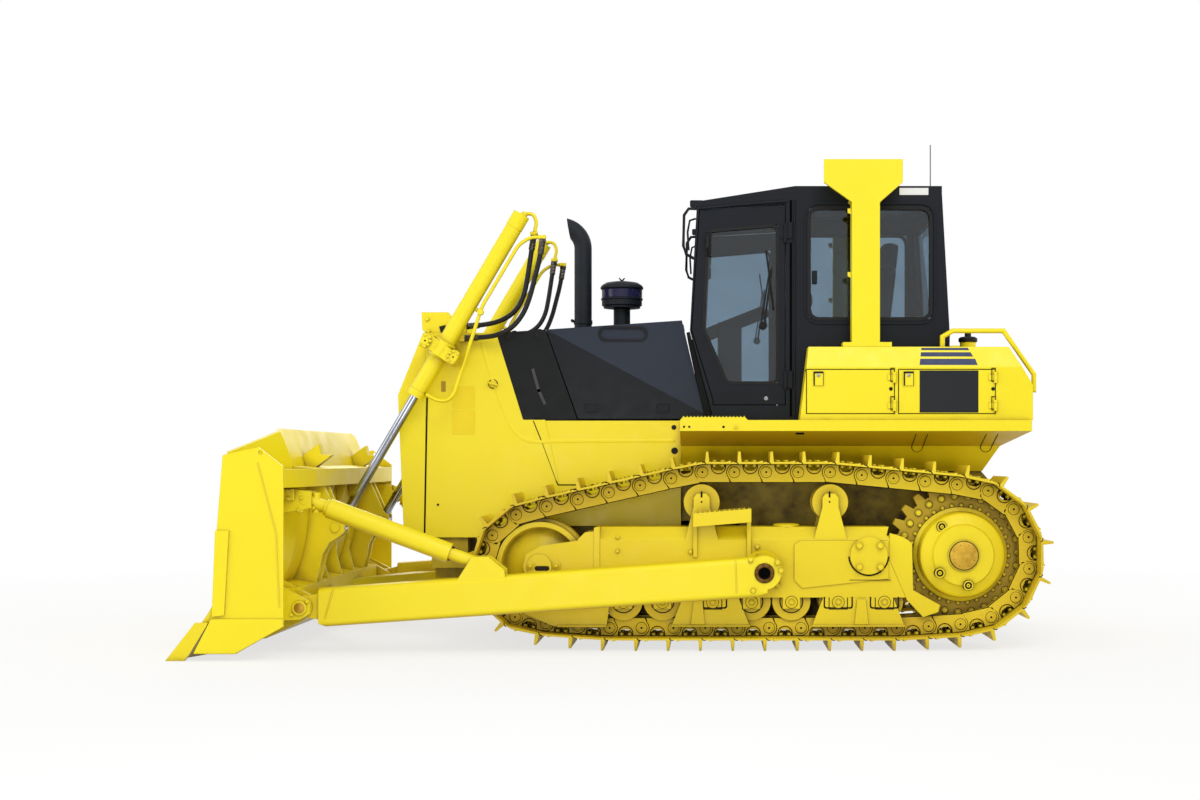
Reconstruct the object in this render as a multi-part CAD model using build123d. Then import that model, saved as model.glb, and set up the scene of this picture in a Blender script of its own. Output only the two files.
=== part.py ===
"""A 20 tonne crawler bulldozer with a semi-U blade on straight push arms.

Millimetres, +X forward, +Y to the machine's left, +Z up. Every length along X in this file is
measured from the sprocket's axis. save() moves each piece so that the origin is at the bottom
centre of the whole machine. Left-hand pieces are modelled and mirrored for the right.
"""

from build123d import *
from math import acos, atan2, cos, hypot, pi, radians, sin, tan
import os

os.makedirs("parts", exist_ok=True)

# ---- clearances ----------------------------------------------------------------------------
SEAT = 0.3  # between two fixed pieces that seat on each other
PIN_FIT = 0.3  # all round a pin in its bore
DOOR_GAP = 6.0  # round a door, lid or cover
HINGE_R = 12.0
HINGE_LEAF = 45.0  # from the pin out to the leaf's edge
HINGE_PLATE = 5.0

# ---- undercarriage -------------------------------------------------------------------------
TRACK_GAUGE = 1880.0
SHOE_WIDTH = 510.0
LINK_COUNT = 39
GROUSER_HEIGHT = 65.0
SHOE_THICKNESS = 13.0
LINK_RISE = 52.0  # from a track pin out to the shoe
LINK_DEPTH = 65.0  # from a track pin in to the rail that the rollers run on
RAIL_WIDTH = 46.0
RAIL_OFFSET = 85.0  # from the middle of the track to the middle of a rail
GROUSER_ROOT = 26.0
GROUSER_TIP = 14.0
GROUSER_SHARE = 0.15  # where a grouser stands along its link
SHOE_SPLIT = 8.0
SHOE_LAP = 24.0  # from a pin back to the joint between two shoes
LAP_RISE = 7.0  # of a shoe's curled end over the next shoe
WINDOW_R = 46.0  # the opening between a link and its shoe
LINK_PHASE = 0.163  # share of a link by which the chain is turned round its loop
GROUND_OVERRUN = 105.0  # flat run of the chain past the end rollers
CHORD_RISE = 20.0  # from a carrier roller up to the bent chain's loop

SPROCKET_Z = 595.0
SPROCKET_PIN_R = 440.6
SPROCKET_TEETH = 27
SPROCKET_WIDTH = 68.0
TOOTH_RISE = 26.0
IDLER_X = 2675.0
IDLER_Z = 523.0
IDLER_PIN_R = 360.0
ROLLER_R = 105.0
ROLLER_FLANGE = 16.0
ROLLER_STATIONS = (492.0, 784.0, 1080.0, 1332.0, 1579.0, 1896.0, 2144.0)
CARRIER_R = 106.0
CARRIER_Z = 928.0
CARRIER_STATIONS = (833.0, 1648.0)

FRAME_HALF_WIDTH = 150.0  # of a track frame
FRAME_PLATE = 20.0
FRAME_TOP = 771.0
FRAME_BEVEL = 60.0  # the sloping top corners of a track frame, across
FRAME_BEVEL_DROP = 80.0
FRAME_LOW = 326.0
FRAME_CORE_LOW = 440.0
FRAME_REAR = 357.0
FRAME_FRONT = 2294.0
ROLLER_SHAFT_R = 34.0
STEP_MIDDLE = 1519.0
STEP_LENGTH = 366.0
STEP_TOP = 890.0
STEP_SLOPE = 30.0
STEP_DEPTH = 84.0
STEP_TEETH = 12
STEP_TOOTH = 10.0
STEP_LEG = 26.0
STEP_FOOT = 580.0
PIVOT_X = 592.0
PIVOT_Z = 592.0
PIVOT_R = 80.0
PIVOT_COVER_R = 118.0
BAR_X = 2180.0  # the equalizer bar
BAR_LENGTH = 130.0
BAR_LOW = 560.0
BAR_HIGH = 680.0

HUB_CASE_R = 300.0
HUB_DRUM_R = 264.0
HUB_FACE_R = 188.0
HUB_CAP_R = 86.0
HUB_REACH = 230.0  # from the middle of the track out to the face of the hub

# ---- push arms and blade -------------------------------------------------------------------
TRUNNION_X = 1261.0
TRUNNION_Z = 502.0
TRUNNION_R = 60.0
TRUNNION_BORE = 44.0
TRUNNION_CAP_R = 104.0
ARM_GAP = 35.0  # from the shoes to the push arm
ARM_WIDTH = 165.0
ARM_ROUND = 34.0  # the radius along an arm's edges
ARM_FRONT_X = 4004.0
BLADE_PIN_X = 4108.0
BLADE_PIN_Z = 290.0
BLADE_PIN_R = 42.0
EAR_THICKNESS = 40.0
STRUT_FRONT_X = 4096.0
STRUT_FRONT_Z = 950.0
STRUT_REAR_X = 3009.0
STRUT_REAR_Z = 545.0
STRUT_R = 62.0

BLADE_WIDTH = 3460.0
BLADE_TIP_X = 4837.0  # the foremost corner of an end bit
WING_WIDTH = 575.0
WING_FORWARD = 200.0
CUT_ANGLE = 52.0
CUT_HEIGHT = 205.0
EDGE_THICKNESS = 26.0
MOULD_R = 1100.0
MOULD_THICKNESS = 24.0
SPILL_TOP = 1395.0
SPILL_HALF = 1040.0
END_PLATE = 30.0
END_SKIN = 18.0  # of that, the plate itself: the wear strip and cheek lie on it
END_TOP = 1240.0
BLADE_BACK_X = 4137.0  # the rear edge of an end plate

# ---- lift cylinders ------------------------------------------------------------------------
LIFT_OUTSIDE = 150.0  # from the body's side out to a lift cylinder
YOKE_X = 3345.0
YOKE_Z = 1914.0
EYE_X = 4024.0
EYE_Z = 759.0
BARREL_UP = 1026.0  # from the yoke's pivot up to the cap end
BARREL_DOWN = 349.0  # from the pivot down to the gland
BARREL_R = 55.0
BARREL_BORE = 44.0
COLLAR_R = 65.0
ROD_R = 29.0
ROD_LENGTH = 1480.0
EYE_R = 58.0
EYE_WIDTH = 84.0
YOKE_PIN_R = 30.0
PIPE_D = 24.0
PIPE_APART = 50.0
HOSE_D = 33.0
HOSE_TOP = (2636.0, 2606.0)  # where the hoses leave the cap's and the gland's union
HOSE_ENDS_X = 3190.0

# ---- body ----------------------------------------------------------------------------------
BODY_HALF = 600.0
PANEL = 25.0
CHASSIS_HALF = 420.0
CHASSIS_LOW = 405.0
CHASSIS_HIGH = 760.0
CHASSIS_REAR = 1400.0
CHASSIS_FRONT = 3440.0
CHASSIS_WALL = 60.0
GUARD_LOW = 684.0
GUARD_FRONT = 3478.0
GUARD_TOP = 2038.0
MASK_FRONT = 3660.0
LAMP_TOP = GUARD_TOP + 137
HOOD_SPLIT_Z = 1462.0
HOOD_TOP_REAR = 2120.0
HOOD_REAR = 1775.0
SPINE_HALF = 260.0
HANDLE_SPAN = (2060.0, 2292.0)
HANDLE_Z = 2026.0
HANDLE_HALF = 40.0
HANDLE_DEEP = 14.0
COVER_HINGES = (1890.0, 2230.0, 2570.0)
REAR_CASE_BACK = -330.0
CASE_INSET = 40.0  # from the body's side in to the rear case's
DRAWBAR_X = -470.0
DRAWBAR_BACK = -540.0
DRAWBAR_LOW = 420.0
DRAWBAR_HIGH = 580.0
DRAWBAR_EAR = 45.0
DRAWBAR_PIN_R = 27.0
REAR_HOLES_WIDE = 500.0
REAR_HOLES_HIGH = 300.0
REAR_HOLES_Z = 750.0
REAR_HOLE_R = 15.0
REAR_HOLE_DEPTH = 60.0
PLATFORM_BACK = -459.0
PLATFORM_FRONT = 1787.0
PLATFORM_LOW = 1381.0
PLATFORM_HIGH = 1451.0
PLATFORM_HALF = 1000.0
SKIRT_LOW = 1123.0
CAB_STEP = (1353.0, 1787.0)
CAB_STEP_TOP = PLATFORM_HIGH + 18
CAB_STEP_TEETH = 18
EXHAUST_X = 2472.0
EXHAUST_Y = 100.0
EXHAUST_R = 60.0
EXHAUST_WALL = 5.0
EXHAUST_STRAIGHT = 2655.0
EXHAUST_BEND = 156.0
CLEANER_X = 2209.0
CLEANER_BOWL_R = 140.0
CLEANER_STEM_R = 58.0

# ---- cab -----------------------------------------------------------------------------------
CAB_HALF = 700.0
CAB_WALL = 40.0
CAB_BASE = PLATFORM_HIGH + SEAT
GLASS = 6.0
ROOF_TOP = 2993.0
ANTENNA_X = 98.0
ANTENNA_Y = 300.0
ANTENNA_TOP = 3336.0
DOOR_REAR = 1104.0
CAB_HINGES = (1720.0, 2680.0)
BOX_HALF = 950.0
BOX_TOP = 1925.0
BOX_BACK = -475.0
ROPS_FRONT = 681.0
ROPS_BACK = 501.0
ROPS_TOP = 3134.0
ROPS_SHOULDER = ROPS_TOP - 148
ROPS_NECK = ROPS_TOP - 277
ROPS_BEAM_LOW = ROPS_TOP - 134
ROPS_INNER = 770.0
ROPS_OUTER = 900.0
ROPS_FOOT = 30.0

# ---- worked out from the sizes above -------------------------------------------------------
TRACK_Y = TRACK_GAUGE / 2
TRACK_OUTER = TRACK_Y + SHOE_WIDTH / 2
PIN_Z = LINK_RISE + SHOE_THICKNESS + GROUSER_HEIGHT
ROLLER_Z = PIN_Z + LINK_DEPTH + SEAT + ROLLER_R
FRAME_IN = TRACK_Y - FRAME_HALF_WIDTH
FRAME_OUT = TRACK_Y + FRAME_HALF_WIDTH
ARM_IN = TRACK_OUTER + ARM_GAP
ARM_OUT = ARM_IN + ARM_WIDTH
ARM_MID = (ARM_IN + ARM_OUT) / 2
WING_Y = BLADE_WIDTH / 2 - END_PLATE - WING_WIDTH
LIFT_Y = BODY_HALF + LIFT_OUTSIDE
LIFT_LENGTH = hypot(EYE_X - YOKE_X, EYE_Z - YOKE_Z)
LIFT_DIR = Vector((EYE_X - YOKE_X) / LIFT_LENGTH, 0, (EYE_Z - YOKE_Z) / LIFT_LENGTH)


# ---- helpers -------------------------------------------------------------------------------
def slab(points, low, high, along="Y"):
    """A flat plate: points are (x, z) along Y, (x, y) along Z or (y, z) along X."""
    place = {
        "X": lambda p: (low, p[0], p[1]),
        "Y": lambda p: (p[0], low, p[1]),
        "Z": lambda p: (p[0], p[1], low),
    }[along]
    push = {"X": (high - low, 0, 0), "Y": (0, high - low, 0), "Z": (0, 0, high - low)}[along]
    return Solid.extrude(Face(Wire.make_polygon([place(p) for p in points])), Vector(push))


def block(x, y, z):
    """A box from three (low, high) pairs."""
    size = (x[1] - x[0], y[1] - y[0], z[1] - z[0])
    return Solid.make_box(*size).moved(Location((x[0], y[0], z[0])))


def turned(x, z, profile):
    """A solid turned about the line along Y through (x, z), from (y, radius) points."""
    points = [(x, y, z + r) for y, r in profile]
    points = [(x, profile[0][0], z)] + points + [(x, profile[-1][0], z)]
    axis = Axis((x, 0, z), (0, 1, 0))
    return Solid.revolve(Face(Wire.make_polygon(points)), 360, axis)


def pin(x, z, radius, y_low, y_high):
    """A round pin along Y."""
    return turned(x, z, [(y_low, radius), (y_high, radius)])


def rod(start, end, radius):
    """A round bar between two points."""
    start, end = Vector(start), Vector(end)
    plane = Plane(origin=start, z_dir=(end - start).normalized())
    return Solid.make_cylinder(radius, (end - start).length, plane)


def mirrored(solid):
    """The same piece on the machine's right."""
    return solid.mirror(Plane.XZ)


def pair(*solids):
    """Left-hand pieces with their right-hand twins."""
    return [*solids, *[mirrored(s) for s in solids]]


def fused(first, *others):
    """One solid from pieces that touch."""
    result = first
    for other in others:
        result = result + other
    return result.solids()[0] if len(result.solids()) == 1 else result


def cut(solid, *tools):
    """A solid less every tool."""
    result = solid
    for tool in tools:
        result = result - tool
    return result.solids()[0] if len(result.solids()) == 1 else result


def hinge(face_point, along, out, length, body_leaf=HINGE_LEAF):
    """A hinge on a flat outside face: the door's half, then the body's two knuckles.

    face_point lies on the face in the gap between door and body, along is the pin's direction
    and out points from the body to the door. The face's own outward side is along x out."""
    place = Plane(origin=face_point, x_dir=out, z_dir=along).location
    knuckle = length / 4

    def half(leaf, low, high):
        barrel = rod((0, HINGE_R, low), (0, HINGE_R, high), HINGE_R)
        return fused(barrel, block(leaf, (-1, HINGE_PLATE), (low, high))).moved(place)

    door_half = half((0, HINGE_LEAF), -knuckle, knuckle)
    body_halves = [
        half((-body_leaf, 0), -2 * knuckle, -knuckle - SEAT),
        half((-body_leaf, 0), knuckle + SEAT, 2 * knuckle),
    ]
    return door_half, body_halves


def save(node, *solids):
    """Write one node, moved to the machine's own origin."""
    flat = [s for item in solids for s in item.solids()]
    shape = Compound([s.moved(Location((-MIDDLE_X, 0, 0))) for s in flat])
    export_step(shape, f"parts/{node}.step")


# ---- tracks --------------------------------------------------------------------------------
def belt_points(wheels, count, phase):
    """Points at even steps round a belt over wheels (x, z, radius), and the belt's length."""
    runs, touch = [], []
    for (x1, z1, r1), (x2, z2, r2) in zip(wheels, wheels[1:] + wheels[:1]):
        travel = atan2(z2 - z1, x2 - x1)
        out = travel - acos((r1 - r2) / hypot(x2 - x1, z2 - z1))
        start = (x1 + r1 * cos(out), z1 + r1 * sin(out))
        end = (x2 + r2 * cos(out), z2 + r2 * sin(out))
        touch.append((out, start, end))
    for i, (out, start, end) in enumerate(touch):
        wheel = wheels[(i + 1) % len(wheels)]
        turn = (touch[(i + 1) % len(touch)][0] - out) % (2 * pi)
        runs.append(("line", hypot(end[0] - start[0], end[1] - start[1]), start, end))
        runs.append(("arc", turn * wheel[2], wheel, out))
    length = sum(run[1] for run in runs)
    points = []
    for i in range(count):
        s = (i + phase) * length / count % length
        for kind, span, a, b in runs:
            if s <= span:
                break
            s -= span
        if kind == "line":
            t = s / span
            points.append((a[0] + t * (b[0] - a[0]), a[1] + t * (b[1] - a[1])))
        else:
            x, z, r = a
            angle = b + s / r
            points.append((x + r * cos(angle), z + r * sin(angle)))
    return points


def chain_outline(pins, marks):
    """A loop through marks (share of the link, distance out from its pins), link by link."""
    outline = []
    for (x1, z1), (x2, z2) in zip(pins, pins[1:] + pins[:1]):
        pitch = hypot(x2 - x1, z2 - z1)
        ex, ez = (x2 - x1) / pitch, (z2 - z1) / pitch
        for share, shift, out in marks:
            u = share * pitch + shift
            outline.append((x1 + ex * u + ez * out, z1 + ez * u - ex * out))
    return outline


# the chain's own loop: it stays flat a little past the end rollers, and its straight links ride
# high over the carrier rollers, where it bends
ground_r = ROLLER_R + SEAT + LINK_DEPTH
top_r = CARRIER_R + CHORD_RISE + LINK_DEPTH
LINK_PINS = belt_points(
    [
        (0.0, SPROCKET_Z, SPROCKET_PIN_R),
        (ROLLER_STATIONS[0] - GROUND_OVERRUN, PIN_Z + ground_r, ground_r),
        (ROLLER_STATIONS[-1] + GROUND_OVERRUN, PIN_Z + ground_r, ground_r),
        (IDLER_X, IDLER_Z, IDLER_PIN_R),
        (CARRIER_STATIONS[1], CARRIER_Z, top_r),
        (CARRIER_STATIONS[0], CARRIER_Z, top_r),
    ],
    LINK_COUNT,
    LINK_PHASE,
)
LINK_PITCH = hypot(LINK_PINS[1][0] - LINK_PINS[0][0], LINK_PINS[1][1] - LINK_PINS[0][1])


def link_windows(pins, low, high):
    """The half-round opening between each link and its shoe, all along the chain."""
    # distance along the link from its middle, distance out from its pins
    marks = [
        (-WINDOW_R, LINK_RISE + SHOE_SPLIT),
        (-WINDOW_R, LINK_RISE - 0.4 * WINDOW_R),
        (-0.5 * WINDOW_R, LINK_RISE - 0.9 * WINDOW_R),
        (0.5 * WINDOW_R, LINK_RISE - 0.9 * WINDOW_R),
        (WINDOW_R, LINK_RISE - 0.4 * WINDOW_R),
        (WINDOW_R, LINK_RISE + SHOE_SPLIT),
    ]
    windows = []
    for (x1, z1), (x2, z2) in zip(pins, pins[1:] + pins[:1]):
        pitch = hypot(x2 - x1, z2 - z1)
        ex, ez = (x2 - x1) / pitch, (z2 - z1) / pitch
        xm, zm = (x1 + x2) / 2, (z1 + z2) / 2
        outline = [(xm + ex * u + ez * out, zm + ez * u - ex * out) for u, out in marks]
        windows.append(slab(outline, low, high))
    return windows


def track():
    """One endless track: grousered shoes on two rails, as one loop."""
    pins = LINK_PINS
    face = LINK_RISE + SHOE_THICKNESS
    tip = face + GROUSER_HEIGHT
    # share of the link, shift along it, distance out from its pins
    shoe_marks = [
        (GROUSER_SHARE, -GROUSER_ROOT / 2, face),
        (GROUSER_SHARE, -GROUSER_TIP / 2, tip),
        (GROUSER_SHARE, GROUSER_TIP / 2, tip),
        (GROUSER_SHARE, GROUSER_ROOT / 2, face),
        (1.0, -SHOE_LAP - 3 * SHOE_SPLIT, face),
        (1.0, -SHOE_LAP - SHOE_SPLIT, face + LAP_RISE),
        (1.0, -SHOE_LAP, face + LAP_RISE),
        (1.0, -SHOE_LAP, face - SHOE_SPLIT),
        (1.0, -SHOE_LAP + SHOE_SPLIT, face),
    ]
    low, high = TRACK_Y - SHOE_WIDTH / 2, TRACK_Y + SHOE_WIDTH / 2
    shoes = cut(
        slab(chain_outline(pins, shoe_marks), low, high),
        slab(chain_outline(pins, [(0.0, 0.0, LINK_RISE)]), low - 1, high + 1),
    )
    rails = []
    for side in (-1, 1):
        y = TRACK_Y + side * RAIL_OFFSET
        outer = slab(
            chain_outline(pins, [(0.0, 0.0, LINK_RISE + SHOE_SPLIT / 4)]),
            y - RAIL_WIDTH / 2,
            y + RAIL_WIDTH / 2,
        )
        inner = slab(
            chain_outline(pins, [(0.13, 0.0, -LINK_DEPTH), (0.87, 0.0, -LINK_DEPTH)]),
            y - RAIL_WIDTH,
            y + RAIL_WIDTH,
        )
        rails.append(cut(outer, inner))
    return fused(shoes, *[cut(rail, *link_windows(pins, low, high)) for rail in rails])


LEFT_TRACK = track()
# the whole machine reaches from the track round the sprocket to the blade's end bits
MIDDLE_X = (BLADE_TIP_X + LEFT_TRACK.bounding_box().min.X) / 2
save("track_left", LEFT_TRACK)
save("track_right", mirrored(LEFT_TRACK))


# ---- rollers, idlers and sprockets ---------------------------------------------------------
def track_roller(x, z, radius, flange, left_end, right_end):
    """A roller's tread between its two flanges, on its shaft."""
    y = TRACK_Y
    tread_out = RAIL_OFFSET + RAIL_WIDTH / 2 + 2
    rim = tread_out + flange
    profile = [
        (y - left_end, ROLLER_SHAFT_R),
        (y - rim, ROLLER_SHAFT_R),
        (y - rim, radius + flange),
        (y - tread_out, radius + flange),
        (y - tread_out, radius),
        (y + tread_out, radius),
        (y + tread_out, radius + flange),
        (y + rim, radius + flange),
        (y + rim, ROLLER_SHAFT_R),
        (y + right_end, ROLLER_SHAFT_R),
    ]
    return turned(x, z, profile)


SHAFT_END = FRAME_HALF_WIDTH - FRAME_PLATE - SEAT
rollers = []
for x in ROLLER_STATIONS:
    rollers += pair(track_roller(x, ROLLER_Z, ROLLER_R, ROLLER_FLANGE, SHAFT_END, SHAFT_END))
for x in CARRIER_STATIONS:
    rollers += pair(track_roller(x, CARRIER_Z, CARRIER_R, 8.0, SHAFT_END, SHAFT_END))
save("rollers", *rollers)

# straight links lie on the idler as chords, so its tread is inside their middles
chord_r = (IDLER_PIN_R**2 - (LINK_PITCH / 2) ** 2) ** 0.5
idler_tread = chord_r - LINK_DEPTH - 2 * SEAT
idler_half = RAIL_OFFSET + RAIL_WIDTH / 2
guide_half = RAIL_OFFSET - RAIL_WIDTH / 2 - 6
idler = turned(
    IDLER_X,
    IDLER_Z,
    [
        (TRACK_Y - SHAFT_END, 62),
        (TRACK_Y - idler_half, 62),
        (TRACK_Y - idler_half + 14, 112),
        (TRACK_Y - guide_half + 20, idler_tread - 48),
        (TRACK_Y - idler_half, idler_tread - 32),
        (TRACK_Y - idler_half, idler_tread),
        (TRACK_Y - guide_half, idler_tread),
        (TRACK_Y - guide_half, idler_tread + 22),
        (TRACK_Y + guide_half, idler_tread + 22),
        (TRACK_Y + guide_half, idler_tread),
        (TRACK_Y + idler_half, idler_tread),
        (TRACK_Y + idler_half, idler_tread - 32),
        (TRACK_Y + guide_half - 20, idler_tread - 48),
        (TRACK_Y + idler_half - 14, 112),
        (TRACK_Y + idler_half, 62),
        (TRACK_Y + SHAFT_END, 62),
    ],
)
save("idlers", *pair(idler))


def sprocket():
    """A toothed ring bolted round the final drive."""
    step = 2 * pi / SPROCKET_TEETH
    # share of a tooth's step, rise over the pin circle
    marks = [(-0.18, TOOTH_RISE), (0.18, TOOTH_RISE), (0.34, -30.0), (0.66, -30.0)]
    points = []
    for tooth in range(SPROCKET_TEETH):
        for share, rise in marks:
            angle = (tooth + share) * step
            radius = SPROCKET_PIN_R + rise
            points.append((radius * cos(angle), SPROCKET_Z + radius * sin(angle)))
    low, high = TRACK_Y - SPROCKET_WIDTH / 2, TRACK_Y + SPROCKET_WIDTH / 2
    ring = slab(points, low, high)
    return cut(ring, pin(0, SPROCKET_Z, HUB_CASE_R + SEAT, low - 1, high + 1))


save("sprockets", *pair(sprocket()))

hub_profile = [
    (BODY_HALF - CASE_INSET + SEAT, 330),
    (TRACK_Y - 130, 330),
    (TRACK_Y - SPROCKET_WIDTH / 2 - SEAT, 330),
    (TRACK_Y - SPROCKET_WIDTH / 2 - SEAT, HUB_CASE_R),
    (TRACK_Y + SPROCKET_WIDTH / 2 + 20, HUB_CASE_R),
    (TRACK_Y + SPROCKET_WIDTH / 2 + 30, HUB_DRUM_R + 12),
    (TRACK_Y + HUB_REACH - 75, HUB_DRUM_R),
    (TRACK_Y + HUB_REACH - 65, HUB_DRUM_R - 12),
    (TRACK_Y + HUB_REACH - 35, HUB_FACE_R + 10),
    (TRACK_Y + HUB_REACH - 15, HUB_FACE_R),
    (TRACK_Y + HUB_REACH - 15, HUB_CAP_R + 14),
    (TRACK_Y + HUB_REACH - 5, HUB_CAP_R + 14),
    (TRACK_Y + HUB_REACH - 5, HUB_CAP_R),
    (TRACK_Y + HUB_REACH, HUB_CAP_R),
]
final_drive = turned(0, SPROCKET_Z, hub_profile)
save("final_drives", *pair(final_drive))


# ---- track frames --------------------------------------------------------------------------
def track_frame():
    """A box beam over the rollers, with the idler's yoke, carrier posts and trunnion."""
    y_in, y_out = FRAME_IN, FRAME_OUT
    outline = [
        (FRAME_REAR, FRAME_LOW),
        (FRAME_FRONT, FRAME_LOW),
        (FRAME_FRONT, FRAME_TOP),
        (FRAME_REAR + 102, FRAME_TOP),
        (FRAME_REAR + 102, FRAME_LOW + 235),
    ]
    beam = slab(outline, y_in, y_out)
    bevels = [
        slab(
            [
                (edge - way * FRAME_BEVEL, FRAME_TOP + 1),
                (edge + way, FRAME_TOP + 1),
                (edge + way, FRAME_TOP - FRAME_BEVEL_DROP),
                (edge, FRAME_TOP - FRAME_BEVEL_DROP),
            ],
            FRAME_REAR,
            FRAME_FRONT + 1,
            "X",
        )
        for edge, way in ((y_in, -1), (y_out, 1))
    ]
    tunnel = block(
        (FRAME_REAR - 50, FRAME_FRONT + 50),
        (y_in + FRAME_PLATE, y_out - FRAME_PLATE),
        (FRAME_LOW - 10, FRAME_CORE_LOW),
    )
    # the beam clears the sprocket's guard behind and the idler's rim in front
    idler_room = pin(
        IDLER_X, IDLER_Z, IDLER_PIN_R + 30, y_in + FRAME_PLATE, y_out - FRAME_PLATE
    )
    sprocket_room = pin(
        0, SPROCKET_Z, SPROCKET_PIN_R + TOOTH_RISE + 25, y_in + FRAME_PLATE, y_out - FRAME_PLATE
    )
    frame = cut(beam, *bevels, tunnel, idler_room, sprocket_room)
    # the collar at the beam's end, round the idler's sliding yoke
    collar_outline = [
        (FRAME_FRONT - 1, FRAME_LOW),
        (FRAME_FRONT + 36, FRAME_LOW),
        (FRAME_FRONT + 36, FRAME_TOP - 4),
        (FRAME_FRONT - 1, FRAME_TOP + 4),
    ]
    collar = cut(slab(collar_outline, y_in - 4, y_out + 4), tunnel, idler_room)
    # roller brackets: the plates reach down to hold each shaft
    brackets = []
    for x in ROLLER_STATIONS:
        for low, high in ((y_in, y_in + FRAME_PLATE), (y_out - FRAME_PLATE, y_out)):
            brackets.append(block((x - 55, x + 55), (low, high), (ROLLER_Z - 45, FRAME_LOW + 1)))
    # yoke arms along both sides of the idler, each with the boss that holds its shaft
    yoke = [
        (FRAME_FRONT + 30, FRAME_LOW),
        (IDLER_X - 60, FRAME_LOW),
        (IDLER_X + 85, IDLER_Z - 75),
        (IDLER_X + 105, IDLER_Z),
        (IDLER_X + 85, IDLER_Z + 77),
        (IDLER_X - 7, IDLER_Z + 129),
        (FRAME_FRONT + 140, IDLER_Z + 163),
        (FRAME_FRONT + 131, IDLER_Z + 177),
        (FRAME_FRONT + 92, IDLER_Z + 216),
        (FRAME_FRONT + 30, IDLER_Z + 221),
    ]
    arms = [slab(yoke, y_in, y_in + FRAME_PLATE), slab(yoke, y_out - FRAME_PLATE, y_out)]
    arms.append(pin(IDLER_X, IDLER_Z, 78, y_out - 1, y_out + 10))
    # carrier posts: two tapered cheeks either side of each carrier roller
    posts = []
    for x in CARRIER_STATIONS:
        cheek = [
            (x - 105, FRAME_TOP - FRAME_BEVEL_DROP),
            (x + 105, FRAME_TOP - FRAME_BEVEL_DROP),
            (x + 51, CARRIER_Z - 30),
            (x + 51, CARRIER_Z + 30),
            (x + 30, CARRIER_Z + 56),
            (x - 30, CARRIER_Z + 56),
            (x - 51, CARRIER_Z + 30),
            (x - 51, CARRIER_Z - 30),
        ]
        posts.append(slab(cheek, y_in, y_in + FRAME_PLATE))
        posts.append(slab(cheek, y_out - FRAME_PLATE, y_out))
    # the trunnion that the push arm turns on, and the pivot's bolted cover
    trunnion = turned(
        TRUNNION_X,
        TRUNNION_Z,
        [
            (y_out - 1, 130),
            (y_out + 40, 110),
            (ARM_IN - 8, 95),
            (ARM_IN - 8, TRUNNION_R),
            (ARM_OUT + 6, TRUNNION_R),
            (ARM_OUT + 6, TRUNNION_BORE),
            (ARM_OUT - 60, TRUNNION_BORE),
        ],
    )
    # the raised panel round the pivot, with the pivot's bolted cover on it
    panel = [
        (FRAME_REAR + 110, FRAME_LOW + 120),
        (PIVOT_X + 420, FRAME_LOW + 60),
        (PIVOT_X + 470, FRAME_LOW + 110),
        (PIVOT_X + 470, FRAME_TOP - 110),
        (PIVOT_X + 430, FRAME_TOP - 85),
        (FRAME_REAR + 110, FRAME_TOP - 85),
    ]
    boss = slab(panel, y_out - 1, y_out + 8)
    cover = pin(PIVOT_X, PIVOT_Z, PIVOT_COVER_R, y_out + 7, y_out + 26)
    return fused(frame, collar, *brackets, *arms, *posts, trunnion, boss, cover, *frame_step())


def frame_step():
    """The foot step bolted to the track frame between the runs of the track."""
    low, high = FRAME_OUT - 1, TRACK_OUTER - 10
    front, rear = STEP_MIDDLE + STEP_LENGTH / 2, STEP_MIDDLE - STEP_LENGTH / 2
    # the tread slopes a little up to the rear, and its outer edge is a row of teeth
    side = [
        (front, STEP_TOP - STEP_DEPTH - STEP_SLOPE),
        (front, STEP_TOP - STEP_SLOPE),
        (rear, STEP_TOP),
        (rear, STEP_TOP - STEP_DEPTH),
    ]
    teeth = [side[0], side[1]]
    for i in range(STEP_TEETH):
        share = (i + 0.5) / STEP_TEETH
        x = front - share * STEP_LENGTH
        z = STEP_TOP - STEP_SLOPE * (1 - share)
        teeth += [(x + 4, z), (x + 2, z + STEP_TOOTH), (x - 2, z + STEP_TOOTH), (x - 4, z)]
    teeth += [side[2], side[3]]
    tread = [
        (front, STEP_TOP - STEP_SLOPE - 8),
        (front, STEP_TOP - STEP_SLOPE),
        (rear, STEP_TOP),
        (rear, STEP_TOP - 8),
    ]
    legs = [
        block((x, x + STEP_LEG), (low, FRAME_OUT + 10), (STEP_FOOT, STEP_TOP - STEP_SLOPE - 1))
        for x in (rear, front - STEP_LEG)
    ]
    return [slab(teeth, high - 8, high), slab(tread, low, high), *legs]


save("track_frames", *pair(track_frame()))


def sprocket_guard():
    """The plate between the track frame's end and the sprocket."""
    outline = [
        (FRAME_REAR + 102 - SEAT, FRAME_TOP - 37),
        (FRAME_REAR + 17, FRAME_TOP - 62),
        (FRAME_REAR - 40, FRAME_TOP - 100),
        (FRAME_REAR - 46, FRAME_LOW + 47),
        (FRAME_REAR - 217, FRAME_LOW - 48),
        (FRAME_REAR - 205, FRAME_LOW - 92),
        (FRAME_REAR - 110, FRAME_LOW - 124),
        (FRAME_REAR - 8, FRAME_LOW - 16),
        (FRAME_REAR - SEAT - 1, FRAME_LOW),
        (FRAME_REAR + 102 - SEAT - 1, FRAME_LOW + 235),
    ]
    return slab(outline, FRAME_OUT - 16, FRAME_OUT)


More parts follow.
